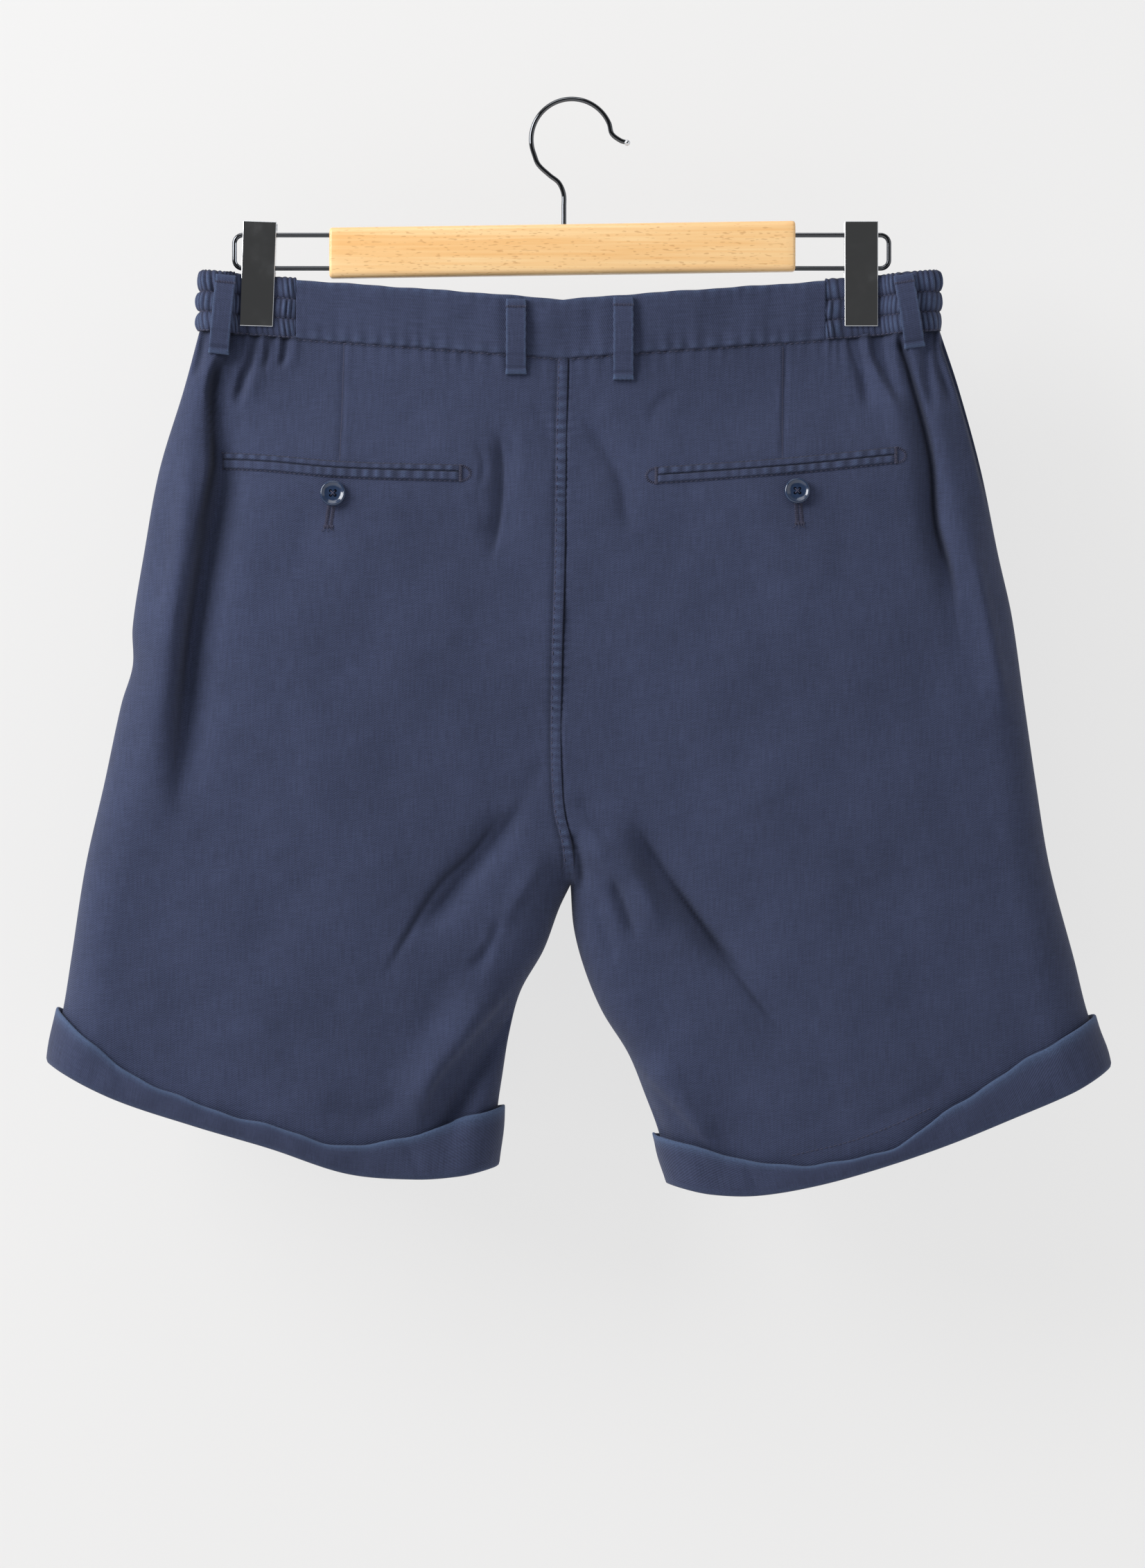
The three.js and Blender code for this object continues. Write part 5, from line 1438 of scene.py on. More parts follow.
@dataclass
class TurnUps:
    """The turned-up cuffs: a fold of cloth round each leg that wraps under the hem."""

    shop: Workshop
    step: float = 2.2
    gap: float = 0.5
    thick: float = 2.3
    flare: float = 1.4
    dents: tuple[tuple[float, float, float], ...] = (
        (-92, -616, 2.2), (-262, -566, 1.6), (104, -626, 2.2), (288, -556, 1.8), (76, -618, 1.6))

    def section(self, tall: Array) -> tuple[Array, Array, Array]:
        """Closed section of the fold at each station.

        Args:
            tall: height of the turn-up at each station.

        Returns:
            Height above the hem, distance out from the leg and wear, each station by section points.
        """
        k = np.array([0.02, 0.1, 0.22, 0.36, 0.5, 0.64, 0.78, 0.9, 0.97])
        up = tall[:, None] * k
        outer = self.gap + self.thick + self.flare * k + 0.5 * np.sin(np.pi * k)
        top_b = self.gap + self.flare + np.array([0.92, 0.5, 0.12]) * self.thick
        top_a = tall[:, None] + np.array([0.45, 0.8, 0.3])
        inner = self.gap + self.flare * k[::-1]
        under_a = np.array([-0.4, -0.3, 1.0, 3.0, 3.4, 3.0, 1.0, -0.9, -1.8, -1.9, -1.2])
        under_b = np.array([0.1, -1.0, -1.6, -1.6, -2.0, -2.5, -2.6, -2.3, -1.0, 1.0, 2.3])
        a = np.concatenate([up, top_a, up[:, ::-1], np.tile(under_a, (len(tall), 1))], axis=1)
        b = np.concatenate([outer, top_b, inner, under_b])
        rub = np.concatenate([[0.1, 0, 0, 0, 0, 0, 0.05, 0.35, 0.8, 1, 0.9, 0.3],
                              np.zeros(len(k) + len(under_a) - 1), [0.25]])
        return a, np.broadcast_to(b, a.shape), np.broadcast_to(rub, a.shape)

    def stations(self) -> tuple[Array, Array]:
        """Shares across and faces of the stations round a leg, the back first.

        Returns:
            The share and the face's value of each station.
        """
        turns = EDGE_BODY * (1 - np.cos(np.radians(np.arange(0, 90, 5.0)))) / 255
        u = np.concatenate([turns, np.linspace(0.1, 0.9, int(205 / self.step)), 1 - turns[::-1]])
        face = np.concatenate([np.full(len(u), Face.BACK.value), np.full(len(u) - 2, Face.FRONT.value)])
        return np.concatenate([u, u[::-1][1:-1]]), face

    def build(self) -> None:
        """Makes both turn-ups."""
        u, faces = self.stations()
        edge = np.minimum(u, 1 - u)
        for leg in (LEFT, RIGHT):
            hem = np.asarray(leg.hem, float)
            span = np.zeros(len(u))
            sides = [(face.value, FORMS[face, leg.name], faces == face.value) for face in Face]
            for _, form, on in sides:
                low, high = (form.point(u[on], np.full(on.sum(), v), False) for v in (1.0, 0.93))
                span[on] = np.linalg.norm(high - low, axis=1) / 0.07
            waver = 0.5 * np.sin(u * 31 + leg.sign) + 0.35 * np.sin(u * 67 + 2 * leg.sign)
            tall = (1 - spline(hem[:, 0], hem[:, 2], u)) * span + waver * ease(edge / 0.08)
            a, b, rub = self.section(tall)
            sections = np.zeros((*a.shape, 3))
            for value, form, on in sides:
                uu = np.broadcast_to(u[on][:, None], a[on].shape)
                vv = 1 - np.clip(a[on], 0, None) / span[on][:, None]
                base = form.point(uu, vv, False)
                out = form.normal(np.clip(uu, 0.004, 0.996), np.minimum(vv, 0.996))
                side = np.where(u[on] > 0.5, leg.sign, -leg.sign)[:, None, None] * np.array([1.0, 0, 0])
                out = np.where(edge[on][:, None, None] < 1e-6, side, out)
                dented = b[on] + self.crumple(base, value) * ease(b[on] - 1.5)
                sections[on] = base + out * dented[..., None]
                sections[on, :, 2] += np.minimum(a[on], 0)
            length = reaches(np.concatenate([sections[:, 4], sections[:1, 4]]))
            girth = np.linspace(0, 90, a.shape[1] + 1)
            uv = np.stack(np.broadcast_arrays(length[:, None], girth), axis=-1) * MM
            cuff = ring(f"turn_up_{leg.name}", sections, uv, True, rub.ravel())
            self.shop.clothe(cuff, f"cuff_{leg.name}")

    def crumple(self, base: Array, side: int) -> Array:
        """Small dents of the turn-up's outside.

        Args:
            base: points of the leg under the turn-up.
            side: the face's value.

        Returns:
            Millimetres outwards.
        """
        x, z = base[..., 0], base[..., 2]
        slow = 0.35 * np.sin(x / 9.5 + side) * np.sin(z / 7 + x / 30) + 0.25 * np.sin(x / 4.3 - z / 6)
        for at_x, at_z, wide in self.dents:
            slow = slow - 1.1 * bump(x - at_x + 0.45 * (z - at_z), wide) * bump(z - at_z, 10)
        return slow


@dataclass
class Waist:
    """Waistband, its two shirred elastic ends and the belt loops."""

    shop: Workshop
    elastic_inner: tuple[float, float] = (-161.0, 148.0)
    overlap: tuple[float, float] = (-12.0, 16.0)
    rows: int = 3
    ruffle_pitch: float = 3.5
    dents: tuple[tuple[float, float, float], ...] = (
        (-24, 5, -0.8), (-12, 6, 0.5), (11, 4, -1.0), (-58, 9, -0.6), (52, 8, 0.5), (92, 10, -0.7),
        (-112, 9, 0.6), (38, 4, -0.7), (-38, 4, -0.6), (72, 4, 0.4), (118, 6, -0.6), (-84, 6, -0.5),
        (-136, 6, -0.5), (136, 5, 0.5))

    def band(self, name: str, node: str, face: Face, start: float, end: float, tuck: float = 0.0) -> None:
        """One stretch of the flat band.

        Args:
            name: name of the piece.
            node: solid that it replaces.
            face: back or front.
            start: x of its left end.
            end: x of its right end.
            tuck: how far it lies inside up to where the other end laps over it.
        """
        x = np.arange(start, end + 0.5, 1.0)
        k = np.array([0, 0.02, 0.05, 0.1, 0.18, 0.28, 0.4, 0.52, 0.64, 0.75, 0.85, 0.92, 0.97, 0.99])
        lift = np.array([0.3, 0.75, 0.95, 1, 1, 1, 1, 1, 1, 1, 1, 0.98, 0.8, 0.35])
        depth, seam = (a[:, None] for a in band_plan(x))
        plan = depth + BAND_PROUD - tuck * (1 - ease((x - self.overlap[1] - 2) / 20))[:, None]
        z = seam - 0.35 + (BAND_HEIGHT + 0.6) * k
        xx = np.broadcast_to(x[:, None], z.shape)
        wave = puckers(x, 9.0, 0.3 + face.value)[:, None]
        low, high = np.exp(-(z - seam) / 5), np.exp(-(seam + BAND_HEIGHT - z) / 4)
        relief = 0.85 * wave * low + 0.35 * puckers(x, 7.2, 2.0)[:, None] * high
        relief = relief + 0.65 * undulation(xx, 2.4 * z, 1.1 * face.value)
        for at, wide, tall in self.dents:
            relief = relief + tall * bump(x - at, wide)[:, None] * ease(k * 3) * ease((1 - k) * 4)
        middle = BAND_WALL / 2
        outer_y = plan - middle + (middle + relief) * lift
        inner_y = plan - middle - middle * lift[::-1]
        sections = np.concatenate([np.stack([xx, face.value * outer_y, z], axis=-1),
                                   np.stack([xx, face.value * inner_y, z[:, ::-1]], axis=-1)], axis=1)
        sections[..., 2] += (0.175 * np.sin(x / 7.3) + 0.125 * np.sin(x / 3.1))[:, None]
        # Darker at the band's lower edge, painted shade along its seam; paler at the top fold, faded by
        # rubbing; both scaled along the band by the puckers
        rub = np.array([-0.7, -0.2, 0.2, 0.1, 0, 0, 0, 0, 0, 0, 0.02, 0.15, 0.45, 0.3])
        worn = np.concatenate([rub * (0.6 + 0.4 * wave), np.zeros_like(z)], axis=1)
        girth = np.concatenate([k * BAND_HEIGHT, BAND_HEIGHT + 2 + k * BAND_HEIGHT, [2 * BAND_HEIGHT + 4]])
        # The band is cut along the cloth's length, so its ribs slant the other way
        uv = np.stack(np.broadcast_arrays(girth, -x[:, None]), axis=-1) * MM
        piece = ring(name, sections, uv, False, worn.ravel())
        self.shop.clothe(piece, node)

    def bands(self) -> None:
        """Makes the back band and the two front ones, the left lapping over the right."""
        left, right = self.elastic_inner[0] + 0.1, self.elastic_inner[1] - 0.1
        lap_from, lap_to = self.overlap
        self.band("band_back", "waistband_back", Face.BACK, left, right)
        self.band("band_front_left", "waistband_front_left", Face.FRONT, left, lap_to)
        self.band("band_front_right", "waistband_front_right", Face.FRONT, lap_from, right, BAND_WALL + 0.3)

    def elastic_plan(self, leg: Leg, inner_x: float) -> Array:
        """Plan of an elastic end, from its inner edge on the back round the tip to the front.

        Args:
            leg: the half that it belongs to.
            inner_x: x of its inner edge.

        Returns:
            x, y and the length so far of each station.
        """
        tip = leg.side[0][0]
        bend = tip - leg.sign * EDGE_BAND
        turn = mix(bend, tip, np.sin(np.radians(np.linspace(0, 90, 24))))
        x = np.concatenate([np.linspace(inner_x, bend, 60)[:-1], turn])
        y = band_plan(x)[0] * rounded(np.abs(tip - x), EDGE_BAND)
        plan = np.concatenate([np.stack([x, -y], axis=-1), np.stack([x, y], axis=-1)[::-1][1:]])
        reach = reaches(plan)
        at = np.linspace(0, reach[-1], int(reach[-1] / 0.5))
        return np.stack([np.interp(at, reach, plan[:, 0]), np.interp(at, reach, plan[:, 1]), at], axis=-1)

    def elastic(self, leg: Leg, inner_x: float) -> None:
        """One shirred end: three rows of plump bulges crossed by crisp ruffles.

        Args:
            leg: the half that it belongs to.
            inner_x: x of its inner edge.
        """
        plan = self.elastic_plan(leg, inner_x)
        x, y, s = plan.T
        t = np.linspace(0, 1, 49)
        along_plan = np.gradient(plan[:, :2], axis=0)
        out = unit(np.stack([along_plan[:, 1], -along_plan[:, 0], np.zeros(len(x))], axis=-1))
        away = (x - (leg.side[0][0] - leg.sign * 30)) * out[:, 0] + y * out[:, 1]
        out *= np.sign(away)[:, None]
        row = np.clip((t * self.rows).astype(int), 0, self.rows - 1)
        within = t * self.rows - row
        bulge = np.sin(np.pi * within) ** 0.45
        shift = np.array([0.0, 0.9, 2.2])[row]
        path = s[:, None] + np.array([1.6, -1.0, 1.3])[row] * leg.sign * (within - 0.5) + shift
        phase = np.pi * path / self.ruffle_pitch + 1.3 * np.sin(path / 6.1 + leg.sign)
        phase = phase + 0.7 * np.sin(path / 3.1)
        plump = np.abs(np.sin(phase)) ** 1.1
        strength = 0.6 + 0.4 * np.sin(path / 4.3 + 1.2 * shift + leg.sign)
        loose = 0.22 + 0.78 * ease((np.abs(x - leg.clip_x) - 9.5) / 6)[:, None]
        ends = ease(s / 3)[:, None] * ease((s[-1] - s) / 3)[:, None]
        uneven = 0.75 + 0.45 * np.sin(path / 2.3 + 3 * np.sin(path / 9.1)) * np.sin(path / 13 + leg.sign)
        height = loose * (0.35 + 0.65 * ends) * bulge * (0.7 + 2.3 * plump * strength * uneven)
        height = height - 0.5 * (1 - bulge)
        rise = (BAND_HEIGHT + 0.5) * t - 0.2 + 0.6 * plump * loose * ease((t - 0.9) / 0.1)
        z = band_plan(x)[1][:, None] + rise
        flat = np.stack(np.broadcast_arrays(x[:, None], y[:, None], z), axis=-1)
        outer = flat + out[:, None] * height[..., None]
        inner = flat - out[:, None] * ELASTIC_WALL
        # Painted highlights on the ruffles' crests and painted shade in their dips and between the rows
        worn = 0.55 * plump * bulge * loose - 0.75 * (1 - plump) ** 2 - 0.5 * (1 - bulge)
        uv = np.stack(np.broadcast_arrays(1.6 * s[:, None], rise), axis=-1) * MM
        edge = outer[:, -1:] - 1.1 * out[:, None] + np.array([0, 0, 0.5])
        outer, inner, worn, uv = (np.concatenate([grid, last], axis=1) for grid, last in (
            (outer, edge), (inner, inner[:, -1:]), (worn, worn[:, -1:]), (uv, uv[:, -1:])))
        piece = shell(f"shirred_end_{leg.name}", outer, inner, uv, np.clip(worn, -1, 0.8))
        self.shop.clothe(piece, f"elastic_{leg.name}")
        rows = [((outer[:, at] + 0.15 * out)[4:-4], out[4:-4]) for at in (1, 16, 32)]
        self.shop.sew(f"stitches_shirring_{leg.name}", rows, SHIRRING)

    def band_stitches(self) -> None:
        """The row sewn in the ditch under the band."""
        x = np.arange(self.elastic_inner[0] + 2, self.elastic_inner[1] - 2, 1.0)
        for face in Face:
            row = row_on(face, x, band_plan(x)[1] - 0.8, 0.1)
            self.shop.sew(f"stitches_band_{face.name.lower()}", [row], DITCH)

    def build(self) -> None:
        """Makes everything round the waist."""
        self.bands()
        for leg, inner_x in zip((LEFT, RIGHT), self.elastic_inner):
            self.elastic(leg, inner_x)
        self.band_stitches()
        for loop in BELT_LOOPS:
            loop.build(self.shop)


@dataclass(frozen=True)
class BeltLoop:
    """A folded strip from the top of the band to just below its seam, bowed away between."""

    name: str
    face: Face
    top: tuple[float, float]
    bottom: tuple[float, float]
    bow: float
    step: float
    width: float = 11.8
    thick: float = 1.5

    def build(self, shop: Workshop) -> None:
        """Makes the loop and the tack near its upper end.

        Args:
            shop: finishes and node trees.
        """
        length = math.dist(self.top, self.bottom)
        t = np.linspace(0, 1, int(length / 0.9))
        s = t * length
        x, z = mix(self.top[0], self.bottom[0], t), mix(self.top[1], self.bottom[1], t)
        way = np.array([self.bottom[0] - self.top[0], 0, self.bottom[1] - self.top[1]]) / length
        base, normals = surface(self.face, x, z, False)
        depth = np.convolve(np.pad(base[:, 1], 4, mode="edge"), np.ones(9) / 9, mode="valid")
        base[:, 1] = np.where(np.abs(depth) > np.abs(base[:, 1]), depth, base[:, 1])
        out = unit(normals.mean(axis=0))
        across = unit(np.cross(out, way))
        across *= np.sign(across[0])
        half_k = np.array([0.25, 0.5, 0.72, 0.86, 0.94, 0.985, 1])
        k = np.concatenate([-half_k[::-1], [0], half_k])
        round_edge = np.sqrt(1 - np.clip((np.abs(k) - 0.82) / 0.18, 0, 1) ** 2)
        end_fold = (bump(t - 1, 0.06) + 0.5 * bump(t, 0.05) - 0.8 * bump(t - 0.91, 0.018))[:, None]
        width = self.width * (1 + 0.05 * bump(t - 1, 0.05)) + 0.25 * puckers(s, 7, self.top[0])
        stepped = LAID_ON + self.step * (1 - ease((t - 0.86) / 0.12)) - 0.5 * ease((t - 0.94) / 0.06)
        middle = stepped + self.bow * np.sin(np.pi * t) + self.thick / 2 + 0.12 * undulation(x, z * 3, 1.0)
        half = self.thick / 2 * round_edge * (1 - 0.18 * bump(np.abs(k) - 0.7, 0.08))
        swell = (0.55 * end_fold + 0.12 * puckers(s, 5, 1.0)[:, None]) * round_edge
        side = base[:, None] + across * (width[:, None] / 2 * k)[..., None]
        outer, inner = (side + out * height[..., None]
                        for height in (middle[:, None] + half + swell, middle[:, None] - half))
        # Paler along the edges and on the folded ends, faded by rubbing; darker in the groove above the
        # lower fold, painted shade, and in two faint lines inside the edges
        rub = 0.75 * bump(np.abs(k) - 0.9, 0.1) * (0.6 + 0.4 * puckers(s, 6, 2.0)[:, None])
        rub = rub + 0.5 * end_fold - 0.25 * bump(np.abs(k) - 0.62, 0.06)
        uv = np.stack(np.broadcast_arrays(k * self.width / 2, s[:, None]), axis=-1) * MM
        piece = shell(f"belt_{self.name}", outer, inner, uv, np.clip(rub, -1, 1))
        shop.clothe(piece, self.name)
        line = outer[5, 2:-2] + out * 0.08
        shop.sew(f"tacks_{self.name}", [(line, np.broadcast_to(out, line.shape))], LOOP_TACK)


BELT_LOOPS = (
    BeltLoop("loop_back_outer_left", Face.BACK, (-201.3, -102.5), (-205.7, -148.6), 3.6, 0.6),
    BeltLoop("loop_back_inner_left", Face.BACK, (-32.4, -117), (-32.4, -160.8), 2.6, 0.0),
    BeltLoop("loop_back_inner_right", Face.BACK, (30, -116), (30, -164), 2.6, 0.0),
    BeltLoop("loop_back_outer_right", Face.BACK, (192.8, -102.5), (199.7, -145), 3.6, 0.6),
    BeltLoop("loop_front_left", Face.FRONT, (-110, -110), (-110, -155), 2.6, 0.0),
    BeltLoop("loop_front_right", Face.FRONT, (110, -110), (110, -155), 2.6, 0.0),
)


@dataclass(frozen=True)
class WeltPocket:
    """A double-welt pocket: two padded lips round a slit, an outline row and D-shaped end tacks."""

    name: str
    route: Route
    slit: float
    tacks: tuple[int, ...]
    height: float = 10.0
    lips: float = 4.55
    pucker: float = 6.6

    def build(self, shop: Workshop) -> None:
        """Makes the welt and its sewing.

        Args:
            shop: finishes and node trees.
        """
        length = reaches(self.route)[-1]
        ss = np.linspace(0, length, int(length / 0.8))
        x, z = along(self.route, ss / length)
        dd = np.linspace(-self.height / 2, self.height / 2, 41)[:, None]
        upper = rounded(np.minimum(self.lips - dd, dd - self.slit), 1.3)
        lower = rounded(np.minimum(dd + self.lips, self.slit - dd), 1.5)
        wave = np.where(dd > self.slit, puckers(ss, self.pucker, 0.9),
                        puckers(ss + 3, self.pucker * 1.06, 2.1))
        ends = ease(ss / 2.0) * ease((length - ss) / 2.0)
        padded = ends * np.maximum(upper, lower) * (1.15 + 0.3 * wave)
        lift = 0.37 + padded - 0.1 * bump(dd - self.slit, 0.3)
        xx, zz = np.broadcast_arrays(x, z + dd)
        points, normals = surface(Face.BACK, xx, zz)
        normals = unit(normals + normals.mean(axis=(0, 1)))
        # Painted light on the lips' puckers, paler on their crests and darker in their dips, and painted
        # shade in the slit and in the ditches along the lips' edges, partly dye caught in the seams
        worn = (upper + lower) * (0.32 * np.clip(wave, 0, 1) * ends - 0.5 * np.clip(-wave, 0, 1))
        for at, width, deep in ((self.slit, 0.55, 0.95), (self.lips, 0.5, 0.8), (-self.lips, 0.5, 0.7)):
            worn = worn - deep * bump(dd - at, width)
        piece = shell(f"welts_{self.name}", points + normals * lift[..., None], points - normals * 0.5,
                      np.stack([xx, zz], axis=-1) * MM, np.clip(worn, -1, 1))
        shop.clothe(piece, f"pocket_welt_{self.name}")
        self.sew(shop, x, z)

    def sew(self, shop: Workshop, x: Array, z: Array) -> None:
        """Outline rows, the bar at each tacked end and the satin D beyond it.

        Args:
            shop: finishes and node trees.
            x: places along the welt's middle.
            z: their heights.
        """
        rows = [row_on(Face.BACK, x, z + across, 0.3) for across in (4.75, -4.75)]
        shop.sew(f"stitches_welt_{self.name}", rows, WELT_ROW)
        bars, curves = [], []
        angle = np.radians(np.linspace(-90, 90, 22))
        for end in self.tacks:
            at_x, at_z = (x[0], z[0]) if end < 0 else (x[-1], z[-1])
            bars.append(row_on(Face.BACK, at_x, at_z + np.linspace(-4.6, 4.6, 12), 0.9))
            curve_x, curve_z = at_x + end * 5.8 * np.cos(angle), at_z + 4.4 * np.sin(angle)
            curves.append(row_on(Face.BACK, curve_x, curve_z, 0.25))
        shop.sew(f"bars_welt_{self.name}", bars, WELT_BAR)
        shop.sew(f"tacks_welt_{self.name}", curves, WELT_TACK)


WELTS = (
    WeltPocket("left", ((-203.5, -210.7), (-175, -213), (-134, -216.8), (-64.6, -218.8)), 0.9, (1,)),
    WeltPocket("right", ((49, -220.2), (122, -215), (188, -208.2)), 0.2, (-1, 1)),
)


@dataclass(frozen=True)
class Button:
    """A four-hole button with a rolled rim and a dished middle, sewn on with a cross of thread."""

    name: str
    node: str
    face: Face
    place: tuple[float, float]
    radius: float
    lift: float
    sides: int = 48
    hole: float = 0.9
    hole_at: float = 1.35

    def profile(self) -> Array:
        """Radius and height of the turned outline, from the back's middle to the front's.

        Returns:
            One row for each point, in millimetres.
        """
        r = self.radius
        rim = [(r - 1.0 + math.cos(a), 1.5 + 1.45 * math.sin(a)) for a in np.radians(range(-70, 131, 20))]
        return np.array([(0.02, 0.2), (r * 0.5, 0.15), (r - 1.1, 0.2), *rim, (r - 2.3, 2.25),
                         (r - 3.0, 1.95), (r * 0.45, 1.8), (r * 0.2, 1.75), (0.02, 1.75)])

    def build(self, shop: Workshop) -> None:
        """Makes the button, its holes and the thread through them.

        Args:
            shop: finishes and node trees.
        """
        points, normals = surface(self.face, [self.place[0]], [self.place[1]], False)
        normal = Vector(normals[0])
        out, high = self.profile().T
        angle = np.linspace(0, 2 * np.pi, self.sides + 1)[:, None]
        turned = np.stack(np.broadcast_arrays(out * np.cos(angle), out * np.sin(angle), high), axis=-1)
        blank = mesh_object(self.name, turned.reshape(-1, 3), quads(*turned.shape[:2]))
        self.close_and_drill(blank)
        origin = Vector(points[0] * MM) + normal * (self.lift * MM)
        place = Matrix.Translation(origin) @ normal.to_track_quat("Z", "Y").to_matrix().to_4x4()
        blank.data.transform(place)
        dress(blank, shop.finishes.button, "button", self.node)
        run = np.linspace(-1.25, 1.25, 9)
        rise = 1.55 + np.cos(math.pi * run / 2.5)
        threads = [np.array([(place @ Vector(point * MM)) / MM
                             for point in np.stack([run, way * run, rise], axis=-1)]) for way in (1, -1)]
        shop.bend(f"thread_{self.name}", threads, 0.3, 8)

    def close_and_drill(self, blank: bpy.types.Object) -> None:
        """Closes the poles and cuts four holes through the button.

        Args:
            blank: the turned button.
        """
        work = bmesh.new()
        work.from_mesh(blank.data)
        bmesh.ops.remove_doubles(work, verts=work.verts, dist=0.05 * MM)
        bmesh.ops.recalc_face_normals(work, faces=work.faces)
        work.to_mesh(blank.data)
        work.free()
        drills = bmesh.new()
        for dx, dy in ((-1, -1), (1, -1), (1, 1), (-1, 1)):
            made = bmesh.ops.create_cone(drills, cap_ends=True, segments=16, radius1=self.hole * MM,
                                         radius2=self.hole * MM, depth=10 * MM)
            bmesh.ops.translate(drills, verts=made["verts"],
                                vec=(dx * self.hole_at * MM, dy * self.hole_at * MM, 0))
        drill = worked_object("drill", drills)
        cut = blank.modifiers.new("holes", "BOOLEAN")
        cut.operation, cut.object, cut.solver = "DIFFERENCE", drill, "EXACT"
        blank.data = evaluated(blank, cut)
        blank.data.shade_smooth()
        blank.data.set_sharp_from_angle(angle=math.radians(50))
        bpy.data.meshes.remove(drill.data)


BUTTONS = (
    Button("button_left", "pocket_button_left", Face.BACK, (-138.1, -230.9), BUTTON_RADIUS, 0.9),
    Button("button_right", "pocket_button_right", Face.BACK, (130.4, -229.6), BUTTON_RADIUS, 0.9),
    Button("button_waist", "waist_button", Face.FRONT, (6, -133), WAIST_BUTTON_RADIUS, 0.5),
)


@dataclass
class Buttonholes:
    """Worked buttonholes below the pocket buttons, their slit closed, with a few loose ends."""

    shop: Workshop
    places: tuple[tuple[float, float, float, float], ...] = (
        (-139.2, -237.5, -140.9, -250), (131.0, -236, 131.8, -248))

    def build(self) -> None:
        """Sews both buttonholes."""
        satin, bars, ends = [], [], []
        for x0, z0, x1, z1 in self.places:
            for across in (-1.35, 1.35):
                satin.append(sewn_line(Face.BACK, ((x0 + across, z0), (x1 + across, z1)), 0.25, 0.8))
            bars.append(sewn_line(Face.BACK, ((x1 - 2.6, z1), (x1 + 2.6, z1)), 0.35, 0.6))
            ends.extend(self.loose_ends(x1, z1))
        self.shop.sew("satin_buttonholes", satin, SATIN)
        self.shop.sew("bars_buttonholes", bars, HOLE_BAR)
        self.shop.bend("threads_loose", ends, 0.16, 6)

    def loose_ends(self, x: float, z: float) -> list[Array]:
        """Short curved thread ends below a buttonhole.

        Args:
            x: place of the buttonhole's lower end.
            z: its height.

        Returns:
            Points of each end.
        """
        t = np.linspace(0, 1, 10)
        rise = (0.3 + 0.6 * np.sin(np.pi * t))[:, None]
        lines = []
        for side, drop, curl in ((-2.2, 2.6, -1.6), (-0.8, 3.2, 0.7), (0.9, 2.2, 1.1), (2.3, 3.0, 0.6)):
            across = side + curl * t * t + 0.3 * np.sin(6 * t + side)
            lines.append(row_on(Face.BACK, x + across, z - drop * t, rise)[0])
        return lines


@dataclass
class FrontDetails:
    """Fly and front pocket edges, plain pieces laid on the front."""

    shop: Workshop
    fly_x: float = -17.0
    fly_width: float = 34.0
    fly_z: tuple[float, float] = (-153.0, -320.0)
    pocket_z: tuple[float, float] = (-145.0, -262.0)
    pocket_width: float = 12.0
    thick: float = 1.3

    def strip(self, name: str, node: str, x: Array, z: Array, width: Array,
              rows: tuple[Array, Array]) -> None:
        """A strip laid on the front and its two rows of stitches.

        Args:
            name: name of the piece.
            node: solid that it replaces.
            x: middle of the strip at each station.
            z: height of each station.
            width: width at each station.
            rows: x of each row at each station.
        """
        k = np.concatenate([[-0.5, -0.49, -0.475], np.linspace(-0.45, 0.45, 22), [0.475, 0.49, 0.5]])
        xx, zz = np.broadcast_arrays(x[:, None] + k * width[:, None], z[:, None])
        points, normals = surface(Face.FRONT, xx, zz, False)
        inset = (0.5 - np.abs(k)) * width[:, None]
        edge = rounded(inset, 1.0)
        lift = 0.55 + (self.thick + 0.15 * puckers(z, 7, 1.0)[:, None]) * edge
        piece = shell(name, points + normals * lift[..., None], points + normals * 0.2,
                      np.stack([xx, zz], axis=-1) * MM, 0.6 * bump(inset, 1.2))
        self.shop.clothe(piece, node)
        self.shop.sew(f"stitches_{name.replace('_facing', '').replace('_edge', '')}",
                      [row_on(Face.FRONT, row, z, 1.95, False) for row in rows], TOPSTITCH)

    def build(self) -> None:
        """Makes the fly and both pocket edges."""
        t = np.linspace(0, 1, 96)
        width = self.fly_width * np.sqrt(1 - (0.92 * t) ** 6)
        left = self.fly_x - width / 2
        self.strip("fly_facing", "fly", np.full_like(t, self.fly_x), mix(*self.fly_z, t), width,
                   (left + 1.5, left + 7.0))
        for side, x0, x1 in (("left", -148, -196), ("right", 140, 192)):
            x = mix(x0, x1, t)
            self.strip(f"pocket_edge_{side}", f"front_pocket_{side}", x, mix(*self.pocket_z, t),
                       np.full_like(t, self.pocket_width), (x - 3.6, x + 3.6))


